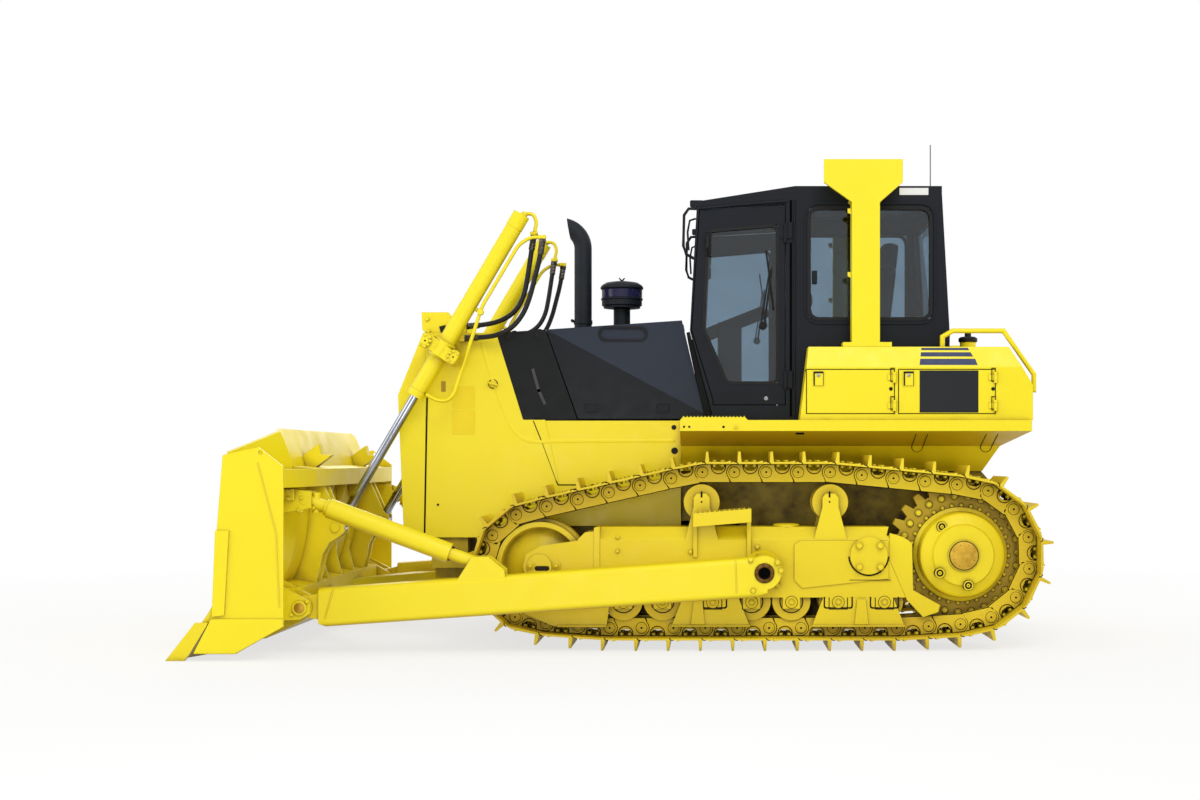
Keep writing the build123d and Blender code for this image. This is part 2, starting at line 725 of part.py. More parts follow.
def roller_guard(x_low, x_high, rib_x):
    """A plate outside the rollers, bolted under the track frame, with a pressed rib."""
    outline = [
        (x_low, PIN_Z + 12),
        (x_high, PIN_Z + 12),
        (x_high - 72, FRAME_LOW - SEAT),
        (x_low + 72, FRAME_LOW - SEAT),
    ]
    rib = [
        (rib_x - 44, PIN_Z + 26),
        (rib_x + 44, PIN_Z + 26),
        (rib_x + 26, FRAME_LOW - 10),
        (rib_x - 26, FRAME_LOW - 10),
    ]
    lip = block((x_low, x_high), (FRAME_OUT - 1, FRAME_OUT + 12), (PIN_Z + 12, PIN_Z + 22))
    notches = [
        block((x - 61, x + 61), (FRAME_OUT - 30, FRAME_OUT + 10), (ROLLER_Z - 51, FRAME_LOW + 10))
        for x in ROLLER_STATIONS
    ]
    plate = fused(slab(outline, FRAME_OUT - 16, FRAME_OUT), lip)
    return fused(cut(plate, *notches), slab(rib, FRAME_OUT - 1, FRAME_OUT + 10))


def idler_guard():
    """The plate under the idler's yoke, turned up in front, with a lip along its foot."""
    outline = [
        (FRAME_FRONT - 58, FRAME_LOW - SEAT),
        (FRAME_FRONT - 58, FRAME_LOW - 76),
        (FRAME_FRONT - 44, PIN_Z + 10),
        (IDLER_X - 115, PIN_Z + 10),
        (IDLER_X - 75, PIN_Z + 20),
        (IDLER_X + 91, PIN_Z + 90),
        (IDLER_X + 60, FRAME_LOW - 30),
        (IDLER_X - 60, FRAME_LOW - SEAT),
    ]
    lip = block(
        (FRAME_FRONT - 44, IDLER_X - 115), (FRAME_OUT - 1, FRAME_OUT + 12), (PIN_Z + 10, PIN_Z + 22)
    )
    return fused(slab(outline, FRAME_OUT - 16, FRAME_OUT), lip)


# ---- chassis -------------------------------------------------------------------------------
chassis = block(
    (CHASSIS_REAR, CHASSIS_FRONT), (-CHASSIS_HALF, CHASSIS_HALF), (CHASSIS_LOW, CHASSIS_HIGH)
)
chassis_room = block(
    (CHASSIS_REAR + CHASSIS_WALL, CHASSIS_FRONT - 200),
    (-CHASSIS_HALF + CHASSIS_WALL, CHASSIS_HALF - CHASSIS_WALL),
    (CHASSIS_LOW + PANEL, CHASSIS_HIGH + 1),
)
crossmember = block(
    (CHASSIS_FRONT - 240, CHASSIS_FRONT),
    (-BODY_HALF + PANEL + SEAT, BODY_HALF - PANEL - SEAT),
    (CHASSIS_LOW + 75, CHASSIS_HIGH - 40),
)
bar_hole = block(
    (BAR_X - BAR_LENGTH / 2 - 15, BAR_X + BAR_LENGTH / 2 + 15),
    (-CHASSIS_HALF - 1, CHASSIS_HALF + 1),
    (BAR_LOW - 15, BAR_HIGH + 15),
)
saddle = block((BAR_X - 90, BAR_X + 90), (-90, 90), (CHASSIS_LOW + PANEL - 1, BAR_LOW - SEAT))
main_frame = fused(cut(chassis, chassis_room, bar_hole), crossmember, saddle)

bar = block(
    (BAR_X - BAR_LENGTH / 2, BAR_X + BAR_LENGTH / 2),
    (-FRAME_IN + SEAT, FRAME_IN - SEAT),
    (BAR_LOW, BAR_HIGH),
)
rear_case_half = BODY_HALF - CASE_INSET
pivot = pin(PIVOT_X, PIVOT_Z, PIVOT_R, rear_case_half + SEAT, FRAME_IN - SEAT)
save("main_frame", main_frame, bar, *pair(pivot))

# rear case: the steering and gear housing between the tracks
case_outline = [
    (REAR_CASE_BACK, 520),
    (REAR_CASE_BACK + 90, 430),
    (CHASSIS_REAR - SEAT, 430),
    (CHASSIS_REAR - SEAT, CHASSIS_HIGH + 40),
    (PLATFORM_FRONT - SEAT, CHASSIS_HIGH + 40),
    (PLATFORM_FRONT - SEAT, SKIRT_LOW - SEAT),
    (-204, SKIRT_LOW - SEAT),
    (REAR_CASE_BACK, 980),
]
rear_case = slab(case_outline, -rear_case_half, rear_case_half)
# the drawbar: a clevis behind the case, with an upright pin's bore through both its ears
bar_plan = [
    (REAR_CASE_BACK + 110, -120),
    (DRAWBAR_X - 20, -80),
    (DRAWBAR_BACK, -50),
    (DRAWBAR_BACK, 50),
    (DRAWBAR_X - 20, 80),
    (REAR_CASE_BACK + 110, 120),
]
clevis = [
    slab(bar_plan, DRAWBAR_LOW, DRAWBAR_LOW + DRAWBAR_EAR, "Z"),
    slab(bar_plan, DRAWBAR_HIGH - DRAWBAR_EAR, DRAWBAR_HIGH, "Z"),
    block((REAR_CASE_BACK - 40, REAR_CASE_BACK + 110), (-120, 120), (DRAWBAR_LOW, DRAWBAR_HIGH)),
]
drawbar_bore = rod(
    (DRAWBAR_X, 0, DRAWBAR_LOW - 1), (DRAWBAR_X, 0, DRAWBAR_HIGH + 1), DRAWBAR_PIN_R
)
# four threaded holes in the rear face take a ripper's or a winch's frame
rear_holes = [
    rod((REAR_CASE_BACK - 1, y, z), (REAR_CASE_BACK + REAR_HOLE_DEPTH, y, z), REAR_HOLE_R)
    for y in (-REAR_HOLES_WIDE / 2, REAR_HOLES_WIDE / 2)
    for z in (REAR_HOLES_Z - REAR_HOLES_HIGH / 2, REAR_HOLES_Z + REAR_HOLES_HIGH / 2)
]
save("rear_case", cut(fused(rear_case, *clevis), drawbar_bore, *rear_holes))

engine = block((PLATFORM_FRONT + 70, 2960), (-400, 400), (CHASSIS_HIGH + SEAT, 1750))
radiator = block(
    (3200, 3400), (-BODY_HALF + 80, BODY_HALF - 80), (CHASSIS_HIGH + SEAT, GUARD_TOP - 108)
)
save("engine_and_radiator", engine, radiator)

# platform under the cab, with skirts that lean in over the tracks
section = [
    (-PLATFORM_HALF, PLATFORM_LOW),
    (-700, 1288),
    (-BODY_HALF, SKIRT_LOW),
    (BODY_HALF, SKIRT_LOW),
    (700, 1288),
    (PLATFORM_HALF, PLATFORM_LOW),
    (PLATFORM_HALF, PLATFORM_HIGH),
    (-PLATFORM_HALF, PLATFORM_HIGH),
]
platform = slab(section, PLATFORM_BACK, PLATFORM_FRONT, "X")
chamfer = [
    (PLATFORM_BACK - 1, PLATFORM_LOW),
    (PLATFORM_BACK - 1, SKIRT_LOW - 1),
    (-204, SKIRT_LOW - 1),
    (-306, 1288),
    (PLATFORM_BACK, PLATFORM_LOW),
]
platform = cut(platform, slab(chamfer, -PLATFORM_HALF - 1, PLATFORM_HALF + 1))
# the toothed step edge in front of each cab door
tread = [(CAB_STEP[0], PLATFORM_HIGH - 1)]
for i in range(CAB_STEP_TEETH):
    x = CAB_STEP[0] + 12 + (i + 0.5) * (CAB_STEP[1] - CAB_STEP[0] - 24) / CAB_STEP_TEETH
    tread += [(x - 5, CAB_STEP_TOP), (x - 2, CAB_STEP_TOP + 8), (x + 2, CAB_STEP_TOP + 8)]
    tread += [(x + 5, CAB_STEP_TOP)]
tread.append((CAB_STEP[1], PLATFORM_HIGH - 1))
save("platform", fused(platform, *pair(slab(tread, PLATFORM_HALF - 10, PLATFORM_HALF))))


# ---- hoses and pipes of the lift cylinders ---------------------------------------------------
def route(points, diameter):
    """A hose's or pipe's path: straight runs with arcs as large as the two runs allow."""
    points = [Vector(*p) for p in points]
    runs = [(b - a).length for a, b in zip(points, points[1:])]
    radii = []
    for i in range(1, len(points) - 1):
        turn = radians((points[i] - points[i - 1]).get_angle(points[i + 1] - points[i]))
        radii.append(0.45 * min(runs[i - 1], runs[i]) / tan(turn / 2))
    path = FilletPolyline(*points, radius=radii)
    way = (points[1] - points[0]).normalized()
    section = Plane(origin=points[0], z_dir=way) * Circle(diameter / 2)
    return sweep(section, path=path).solid(), min(radii)


# the two hard pipes of a cylinder lie side by side: one to its cap, one to its gland
pipe_cap_y = LIFT_Y - PIPE_APART / 2
pipe_gland_y = LIFT_Y + PIPE_APART / 2
# the two hoses of a lift cylinder, from its pipes to the radiator guard
cap_hose = [
    (2752, pipe_cap_y, HOSE_TOP[0]),
    (2768, pipe_cap_y, 2530),
    (2788, pipe_cap_y, 2394),
    (2812, LIFT_Y - 32, 2268),
    (2868, LIFT_Y - 52, 2170),
    (2972, LIFT_Y - 98, 2110),
    (3092, LIFT_Y - 160, 2090),
    (HOSE_ENDS_X, LIFT_Y - 190, 2086),
]
gland_hose = [
    (2689, pipe_gland_y, HOSE_TOP[1]),
    (2706, pipe_gland_y, 2500),
    (2736, pipe_gland_y, 2385),
    (2766, LIFT_Y + 20, 2265),
    (2812, LIFT_Y, 2150),
    (2892, LIFT_Y - 32, 2058),
    (2998, LIFT_Y - 68, 2012),
    (3102, LIFT_Y - 88, 2002),
    (HOSE_ENDS_X, LIFT_Y - 96, 1998),
]


def end_fitting(end, beside, length):
    """The round fitting that a hose's end is screwed to, in line with its last run."""
    end, beside = Vector(*end), Vector(*beside)
    way = (end - beside).normalized()
    return rod(end + way * SEAT, end + way * length, 19)


# ---- radiator guard, mask and panels -------------------------------------------------------
def shell_along(outline, half, wall, inner_outline):
    """A hollow piece between -half and half, open where the inner outline passes the outer."""
    return cut(slab(outline, -half, half), slab(inner_outline, -half + wall, half - wall))


guard_outline = [
    (2592, GUARD_LOW),
    (2592, 1036),
    (2685, HOOD_SPLIT_Z),
    (2832, HOOD_SPLIT_Z),
    (3011, GUARD_TOP),
    (GUARD_FRONT, GUARD_TOP),
    (GUARD_FRONT, GUARD_LOW),
]
guard_room = [
    (2500, GUARD_LOW - 10),
    (2500, GUARD_TOP - PANEL),
    (GUARD_FRONT + 10, GUARD_TOP - PANEL),
    (GUARD_FRONT + 10, GUARD_LOW - 10),
]
guard = shell_along(guard_outline, BODY_HALF, PANEL, guard_room)
# the elbows that the lift hoses screw on to: one over the top plate, one beside each side plate
fitting_x = (HOSE_ENDS_X + 20, HOSE_ENDS_X + 64)
hose_fittings = [
    block(fitting_x, (LIFT_Y - 212, LIFT_Y - 168), (GUARD_TOP - 1, GUARD_TOP + 70)),
    block(fitting_x, (BODY_HALF - 1, LIFT_Y - 74), (GUARD_TOP - 62, GUARD_TOP - 18)),
    end_fitting(cap_hose[-1], cap_hose[-2], 40),
    end_fitting(gland_hose[-1], gland_hose[-2], 40),
]
save("radiator_guard", fused(guard, *pair(*hose_fittings)))

mask_outline = [
    (GUARD_FRONT + SEAT, GUARD_LOW),
    (3620, GUARD_LOW),
    (MASK_FRONT, 1626),
    (3494, GUARD_TOP),
    (GUARD_FRONT + SEAT, GUARD_TOP),
]
mask_room = [
    (GUARD_FRONT - 10, GUARD_LOW + 60),
    (3580, GUARD_LOW + 60),
    (MASK_FRONT - 40, 1616),
    (3500, GUARD_TOP - 60),
    (GUARD_FRONT - 10, GUARD_TOP - 60),
]
mask = shell_along(mask_outline, BODY_HALF, 40, mask_room)
slots = []
SLOT_COUNT = 12
for i in range(SLOT_COUNT):
    z = GUARD_LOW + 110 + i * (1600 - GUARD_LOW - 130) / SLOT_COUNT
    for y in ((-520, -20), (20, 520)):
        slots.append(block((3540, MASK_FRONT + 10), y, (z, z + 42)))
save("front_mask", cut(mask, *slots))

panel_outline = [
    (PLATFORM_FRONT + SEAT, GUARD_LOW + 76),
    (2592 - SEAT, GUARD_LOW + 76),
    (2592 - SEAT, 1036),
    (2685 - SEAT - DOOR_GAP * (2685 - 2592) / (HOOD_SPLIT_Z - 1036), HOOD_SPLIT_Z - DOOR_GAP),
    (PLATFORM_FRONT + SEAT, HOOD_SPLIT_Z - DOOR_GAP),
]
side_panel = slab(panel_outline, BODY_HALF - PANEL, BODY_HALF)
save("side_panels", *pair(side_panel))


# ---- hood ----------------------------------------------------------------------------------
def hood_top(x):
    """Height of the hood's top edge, which rises a little to the rear."""
    return GUARD_TOP + (3011 - x) * (HOOD_TOP_REAR - GUARD_TOP) / (3011 - HOOD_REAR)


cowl_outline = [
    (2473 + SEAT, HOOD_SPLIT_Z + SEAT),
    (2832 - SEAT, HOOD_SPLIT_Z + SEAT),
    (3011 - SEAT, GUARD_TOP),
    (2685 + SEAT, hood_top(2685)),
]
cowl_room = [(2300, 1400), (3200, 1400), (3200, GUARD_TOP - PANEL), (2300, hood_top(2300) - PANEL)]
cowl = shell_along(cowl_outline, BODY_HALF, PANEL, cowl_room)
spine_outline = [
    (HOOD_REAR, hood_top(HOOD_REAR) - PANEL),
    (2690, hood_top(2690) - PANEL),
    (2690, hood_top(2690)),
    (HOOD_REAR, hood_top(HOOD_REAR)),
]
spine = slab(spine_outline, -SPINE_HALF, SPINE_HALF)
top_way = (Vector(2690, 0, hood_top(2690)) - Vector(HOOD_REAR, 0, hood_top(HOOD_REAR))).normalized()
cover_hinges = [
    hinge((x, SPINE_HALF + DOOR_GAP / 2, hood_top(x)), tuple(top_way), (0, 1, 0), 110.0)
    for x in COVER_HINGES
]
spine_knuckles = [s for _, halves in cover_hinges for s in halves]
save("hood_cowl", fused(cowl, spine, *pair(*spine_knuckles)))


def engine_cover():
    """A gull-wing cover: the hood's side and the outer part of its top, in one shell."""
    gap = DOOR_GAP
    outline = [
        (1622 + gap, HOOD_SPLIT_Z + gap),
        (2473 - gap, HOOD_SPLIT_Z + gap),
        (2685 - gap, hood_top(2685)),
        (HOOD_REAR + gap, hood_top(HOOD_REAR)),
    ]
    room = [
        (1500, 1300),
        (2900, 1300),
        (2900, hood_top(2900) - PANEL),
        (1500, hood_top(1500) - PANEL),
    ]
    # the long round-ended recess of the cover's handle
    ends = [
        pin(x, HANDLE_Z, HANDLE_HALF, BODY_HALF - HANDLE_DEEP, BODY_HALF + 1) for x in HANDLE_SPAN
    ]
    recess = block(
        HANDLE_SPAN,
        (BODY_HALF - HANDLE_DEEP, BODY_HALF + 1),
        (HANDLE_Z - HANDLE_HALF, HANDLE_Z + HANDLE_HALF),
    )
    return cut(
        slab(outline, SPINE_HALF + gap, BODY_HALF),
        slab(room, SPINE_HALF, BODY_HALF - PANEL),
        recess,
        *ends,
    )


COVER = fused(engine_cover(), *[door_half for door_half, _ in cover_hinges])
save("engine_cover_left", COVER)
save("engine_cover_right", mirrored(COVER))

def exhaust_pipe(radius, low):
    """The upright run and the bend of the exhaust, at one radius, from a height up."""
    foot = (EXHAUST_X, EXHAUST_Y, EXHAUST_STRAIGHT)
    mouth = Face(Wire.make_circle(radius, Plane(foot, z_dir=(0, 0, 1))))
    bend = Solid.revolve(mouth, 80, Axis((EXHAUST_X + EXHAUST_BEND, EXHAUST_Y, foot[2]), (0, 1, 0)))
    return fused(rod((EXHAUST_X, EXHAUST_Y, low), foot, radius), bend)


# the bend's mouth is cut off nearly upright, leaning forward
mouth_cut = [(2551, 2675), (2584, 2870), (2596, 2940), (2800, 2940), (2800, 2675)]
exhaust = cut(
    exhaust_pipe(EXHAUST_R, hood_top(EXHAUST_X - EXHAUST_R) + SEAT),
    exhaust_pipe(EXHAUST_R - EXHAUST_WALL, EXHAUST_STRAIGHT - 200),
    slab(mouth_cut, EXHAUST_Y - 100, EXHAUST_Y + 100),
)
clamp_z = hood_top(EXHAUST_X) + 60
collar = cut(
    rod((EXHAUST_X, EXHAUST_Y, clamp_z), (EXHAUST_X, EXHAUST_Y, clamp_z + 26), EXHAUST_R + 5),
    rod((EXHAUST_X, EXHAUST_Y, clamp_z - 1), (EXHAUST_X, EXHAUST_Y, clamp_z + 30), EXHAUST_R - 1),
)
save("exhaust", fused(exhaust, collar))

cleaner_seat = hood_top(CLEANER_X - CLEANER_STEM_R) + SEAT
cleaner_profile = [
    (0, CLEANER_STEM_R),
    (150, CLEANER_STEM_R),
    (158, CLEANER_BOWL_R - 12),
    (170, CLEANER_BOWL_R - 12),
    (176, CLEANER_BOWL_R),
    (262, CLEANER_BOWL_R),
    (268, CLEANER_BOWL_R - 6),
    (310, 60),
    (318, 30),
]
cleaner_points = [(CLEANER_X, 0, cleaner_seat)]
cleaner_points += [(CLEANER_X + r, 0, cleaner_seat + h) for h, r in cleaner_profile]
cleaner_points += [(CLEANER_X, 0, cleaner_seat + cleaner_profile[-1][0])]
cleaner = Solid.revolve(
    Face(Wire.make_polygon(cleaner_points)), 360, Axis((CLEANER_X, 0, 0), (0, 0, 1))
)
save("air_cleaner", cleaner)

# ---- cab -----------------------------------------------------------------------------------
cab_outline = [
    (35, CAB_BASE),
    (1582, CAB_BASE),
    (1582, 1500),
    (1727, 2048),
    (1681, 2881),
    (1038, 2945),
    (74, 2945),
    (22, 2016),
]
cab_room_outline = [
    (35 + CAB_WALL, CAB_BASE + CAB_WALL),
    (1582 - CAB_WALL, CAB_BASE + CAB_WALL),
    (1582 - CAB_WALL, 1500),
    (1727 - CAB_WALL, 2048),
    (1681 - CAB_WALL, 3100),
    (74 + CAB_WALL, 3100),
    (22 + CAB_WALL, 2016),
]
door_outline = [
    (DOOR_REAR, 1560),
    (1572, 1560),
    (1572, 1589),
    (1713, 2048),
    (1661, 2835),
    (DOOR_REAR, 2868),
]
door_glass = [(1150, 1700), (1480, 1700), (1640, 2060), (1610, 2700), (1150, 2740)]
side_window = [(146, 2121), (946, 2121), (946, 2849), (146, 2849)]


def grown(points, by):
    """A convex polygon with every side moved out by a distance."""
    area = sum(x1 * z2 - x2 * z1 for (x1, z1), (x2, z2) in zip(points, points[1:] + points[:1]))
    turn = 1 if area > 0 else -1
    lines = []
    for (x1, z1), (x2, z2) in zip(points, points[1:] + points[:1]):
        length = hypot(x2 - x1, z2 - z1)
        nx, nz = turn * (z2 - z1) / length, -turn * (x2 - x1) / length
        lines.append((nx, nz, nx * x1 + nz * z1 + by))
    corners = []
    for (a, b, c), (d, e, f) in zip([lines[-1]] + lines[:-1], lines):
        det = a * e - b * d
        corners.append(((c * e - b * f) / det, (a * f - c * d) / det))
    return corners


cab = cut(
    slab(cab_outline, -CAB_HALF, CAB_HALF),
    slab(cab_room_outline, -CAB_HALF + CAB_WALL, CAB_HALF - CAB_WALL),
)
door_hole = slab(grown(door_outline, DOOR_GAP), CAB_HALF - CAB_WALL - 12, CAB_HALF + 1)
window_hole = slab(side_window, CAB_HALF - CAB_WALL - 1, CAB_HALF + 1)
front_window = block((1500, 1800), (-560, 560), (1640, 2780))
rear_window = block((-50, 160), (-520, 520), (2080, 2820))
cab = cut(cab, *pair(door_hole), *pair(window_hole), front_window, rear_window)
cab_hinges = [
    hinge((DOOR_REAR - DOOR_GAP / 2, CAB_HALF, z), (0, 0, 1), (1, 0, 0), 120.0)
    for z in CAB_HINGES
]
save("cab_shell", fused(cab, *pair(*[s for _, halves in cab_hinges for s in halves])))

roof_outline = [
    (74, 2945 + SEAT),
    (1038, 2945 + SEAT),
    (1681, 2881 + SEAT),
    (1661, 2895),
    (1038, ROOF_TOP),
    (74, ROOF_TOP),
]
save("cab_roof", slab(roof_outline, -CAB_HALF, CAB_HALF))
antenna_foot = rod((ANTENNA_X, ANTENNA_Y, ROOF_TOP + SEAT), (ANTENNA_X, ANTENNA_Y, ROOF_TOP + 36), 14)
antenna = rod((ANTENNA_X, ANTENNA_Y, ROOF_TOP + 30), (ANTENNA_X, ANTENNA_Y, ANTENNA_TOP), 4)
save("antenna", fused(antenna_foot, antenna))

GLASS_Y = CAB_HALF - CAB_WALL / 2
side_pane = slab(grown(side_window, -SEAT), GLASS_Y - GLASS / 2, GLASS_Y + GLASS / 2)
front_pane = slab(
    [
        (1727 - 26, 2048), (1727 - 20, 2048), (1690 - 20, 2780 - SEAT), (1690 - 26, 2780 - SEAT),
    ],
    -560 + SEAT,
    560 - SEAT,
)
rear_pane = slab(
    [(48, 2080 + SEAT), (54, 2080 + SEAT), (94, 2820 - SEAT), (88, 2820 - SEAT)],
    -520 + SEAT,
    520 - SEAT,
)
save("cab_glass", *pair(side_pane), front_pane, rear_pane)

door = cut(
    slab(door_outline, CAB_HALF - CAB_WALL, CAB_HALF),
    slab(door_glass, CAB_HALF - CAB_WALL - 1, CAB_HALF + 1),
)
pane = slab(grown(door_glass, -SEAT), GLASS_Y - GLASS / 2, GLASS_Y + GLASS / 2)
door = fused(door, *[door_half for door_half, _ in cab_hinges])
save("door_left", door)
save("door_right", mirrored(door))
save("door_glass_left", pane)
save("door_glass_right", mirrored(pane))

seat_z = CAB_BASE + CAB_WALL + SEAT
seat = fused(
    block((420, 900), (-250, 250), (seat_z + 260, seat_z + 420)),
    block((330, 470), (-240, 240), (seat_z + 260, seat_z + 1150)),
    block((460, 840), (-170, 170), (seat_z, seat_z + 261)),
)
save("seat", seat)
console = fused(
    block((560, 1000), (330, 560), (seat_z, seat_z + 600)),
)
dash = block((1380, 1540), (-300, 300), (seat_z, seat_z + 640))
save("console", console, mirrored(console), dash)

# ---- boxes beside and behind the cab -------------------------------------------------------
BOX_IN = CAB_HALF + 10
box_section = [
    (BOX_IN, PLATFORM_HIGH + SEAT),
    (BOX_HALF, PLATFORM_HIGH + SEAT),
    (BOX_HALF, 1792),
    (BOX_HALF - 45, BOX_TOP),
    (BOX_IN, BOX_TOP),
]
box_solid = slab(box_section, BOX_BACK, 1019, "X")
box_trim = [
    slab([(961, BOX_TOP + 1), (1100, BOX_TOP + 1), (1100, 1400), (1019, 1450)], 0, 1100),
    slab([(-327, BOX_TOP + 1), (-475, 1677), (-600, 1600), (-600, BOX_TOP + 50)], 0, 1100),
]
box = cut(box_solid, *box_trim)
LOCKERS = ((-237.0, 390.0), (410.0, 980.0))
LOCKER_LOW = 1490.0
LOCKER_HIGH = 1780.0
LOCKER_HINGES = (1545.0, 1725.0)
LOCKER_LEAF = 15.0  # the hinges' leaves on the narrow pillar between the lockers
rooms, doors, knuckles = [], [], []
for low, high in LOCKERS:
    rooms.append(block((low, high), (BOX_IN + 20, BOX_HALF + 1), (LOCKER_LOW, LOCKER_HIGH)))
    door = block(
        (low + DOOR_GAP, high - DOOR_GAP),
        (BOX_HALF - 20, BOX_HALF),
        (LOCKER_LOW + DOOR_GAP, LOCKER_HIGH - DOOR_GAP),
    )
    for z in LOCKER_HINGES:
        edge = (low + DOOR_GAP / 2, BOX_HALF, z)
        door_half, halves = hinge(edge, (0, 0, 1), (1, 0, 0), 70.0, LOCKER_LEAF)
        door = fused(door, door_half)
        knuckles += halves
    doors.append(door)
save("locker_box", fused(cut(box, *rooms), *knuckles))
save("locker_door_rear", doors[0])
save("locker_door_front", doors[1])
save("hydraulic_tank", mirrored(box))

tank_outline = [
    (BOX_BACK, PLATFORM_HIGH + SEAT),
    (-60, PLATFORM_HIGH + SEAT),
    (-60, 1900),
    (-327, 1900),
    (BOX_BACK, 1677),
]
save("fuel_tank", slab(tank_outline, -BOX_IN + SEAT, BOX_IN - SEAT))

# ---- rollover bar --------------------------------------------------------------------------
rops_side = [
    (ROPS_BACK, BOX_TOP + SEAT + ROPS_FOOT - 1),
    (ROPS_FRONT, BOX_TOP + SEAT + ROPS_FOOT - 1),
    (ROPS_FRONT, ROPS_NECK),
    (ROPS_FRONT + 181, ROPS_SHOULDER),
    (ROPS_FRONT + 181, ROPS_TOP),
    (ROPS_BACK - 148, ROPS_TOP),
    (ROPS_BACK - 148, ROPS_SHOULDER),
    (ROPS_BACK, ROPS_NECK),
]
rops_post = slab(rops_side, ROPS_INNER, ROPS_OUTER)
rops_post = cut(
    rops_post,
    block(
        (ROPS_BACK - 200, ROPS_FRONT + 220),
        (ROPS_INNER - 1, ROPS_OUTER - 25),
        (ROPS_NECK + 13, ROPS_TOP + 1),
    ),
)
post_core = block(
    (ROPS_BACK, ROPS_FRONT), (ROPS_INNER, ROPS_OUTER - 10), (ROPS_NECK - 57, ROPS_BEAM_LOW)
)
rops_foot = block(
    (ROPS_BACK - 77, ROPS_FRONT + 58),
    (ROPS_INNER - 20, BOX_HALF - 50),
    (BOX_TOP + SEAT, BOX_TOP + SEAT + ROPS_FOOT),
)
beam = block(
    (ROPS_BACK, ROPS_FRONT), (-ROPS_OUTER + 24, ROPS_OUTER - 24), (ROPS_BEAM_LOW, ROPS_TOP - 10)
)
# two small hooks on each post's front
hook = [(ROPS_FRONT - 1, 0), (ROPS_FRONT + 26, 12), (ROPS_FRONT + 26, 40), (ROPS_FRONT - 1, 40)]
hooks = [
    slab([(x, z + foot) for x, z in hook], ROPS_OUTER - 30, ROPS_OUTER - 22)
    for foot in (ROPS_TOP - 765, ROPS_TOP - 355)
]
save("rollover_bar", fused(beam, *pair(fused(rops_post, post_core, rops_foot, *hooks))))

# ---- push arms, blade and its struts -------------------------------------------------------
ear_in = (ARM_IN - SEAT - EAR_THICKNESS, ARM_IN - SEAT)
ear_out = (ARM_OUT + SEAT, ARM_OUT + SEAT + EAR_THICKNESS)


def push_arm():
    """A box beam with rounded edges, from the trunnion's cap to the eye at the blade."""
    outline = [
        (TRUNNION_X - 20, 378),
        (1338, 348),
        (3961, 170),
        (ARM_FRONT_X, 190),
        (ARM_FRONT_X, 404),
        (1338, 594),
        (TRUNNION_X - 20, 596),
    ]
    beam = slab(outline, ARM_IN, ARM_OUT)
    long_edges = [edge for edge in beam.edges() if edge.length > (ARM_FRONT_X - TRUNNION_X) / 2]
    beam = beam.fillet(ARM_ROUND, long_edges)
    # the neck between the beam and the blade's ears, narrower than both
    neck = [
        (ARM_FRONT_X - 40, 205),
        (BLADE_PIN_X - 10, BLADE_PIN_Z - 60),
        (BLADE_PIN_X - 10, BLADE_PIN_Z + 60),
        (ARM_FRONT_X - 40, 385),
    ]
    bracket = [(3162, 440), (2855, 460), (2860, 520), (2960, 600), (3060, 600)]
    cheeks = [
        slab(bracket, ARM_IN + 5, ARM_IN + 35),
        slab(bracket, ARM_OUT - 35, ARM_OUT - 5),
    ]
    arm = fused(
        beam,
        slab(neck, ARM_IN + 22, ARM_OUT - 22),
        pin(BLADE_PIN_X, BLADE_PIN_Z, 66, ARM_IN, ARM_OUT),
        pin(TRUNNION_X, TRUNNION_Z, TRUNNION_CAP_R, ARM_IN, ARM_OUT),
        *cheeks,
    )
    bores = [
        pin(TRUNNION_X, TRUNNION_Z, TRUNNION_R + PIN_FIT, ARM_IN - 1, ARM_OUT + 1),
        pin(BLADE_PIN_X, BLADE_PIN_Z, BLADE_PIN_R + PIN_FIT, ARM_IN - 1, ARM_OUT + 1),
    ]
    return cut(arm, *bores)


# the moulding line of the centre, seen from the side: a straight foot and an arc above it.
# A depth is measured back from the cutting edge's front face, square to it.
SLANT = radians(CUT_ANGLE)
FOOT_X = BLADE_TIP_X - WING_FORWARD
KNEE_X = FOOT_X - CUT_HEIGHT / tan(SLANT)
ARC_X = KNEE_X + MOULD_R * sin(SLANT)
ARC_Z = CUT_HEIGHT + MOULD_R * cos(SLANT)
MOULD_FRONT = EDGE_THICKNESS + SEAT
MOULD_BACK = MOULD_FRONT + MOULD_THICKNESS
BLADE_HALF = BLADE_WIDTH / 2


def foot_point(depth, z):
    """A point on the straight foot, by depth and height."""
    return (FOOT_X - depth / sin(SLANT) - z / tan(SLANT), z)


def arc_point(depth, z):
    """A point on the curved part of the moulding line."""
    radius = MOULD_R + depth
    return (ARC_X - (radius**2 - (z - ARC_Z) ** 2) ** 0.5, z)


def knee_point(depth):
    """Where the straight foot meets the arc."""
    return (KNEE_X - depth * sin(SLANT), CUT_HEIGHT - depth * cos(SLANT))


def mould_section(front, back, z_low, z_top):
    """The blade's section at its left bend, between two depths and two heights."""

    def at(point):
        return (point[0], WING_Y, point[1])

    def arc(depth, start_z, end_z):
        middle = arc_point(depth, (start_z + end_z) / 2)
        ends = arc_point(depth, start_z), arc_point(depth, end_z)
        return Edge.make_three_point_arc(at(ends[0]), at(middle), at(ends[1]))

    front_knee, back_knee = knee_point(front), knee_point(back)
    edges = [
        Edge.make_line(at(foot_point(back, z_low)), at(foot_point(front, z_low))),
        Edge.make_line(at(foot_point(front, z_low)), at(front_knee)),
        arc(front, front_knee[1], z_top),
        Edge.make_line(at(arc_point(front, z_top)), at(arc_point(back, z_top))),
        arc(back, z_top, back_knee[1]),
        Edge.make_line(at(back_knee), at(foot_point(back, z_low))),
    ]
    return Face(Wire(edges))


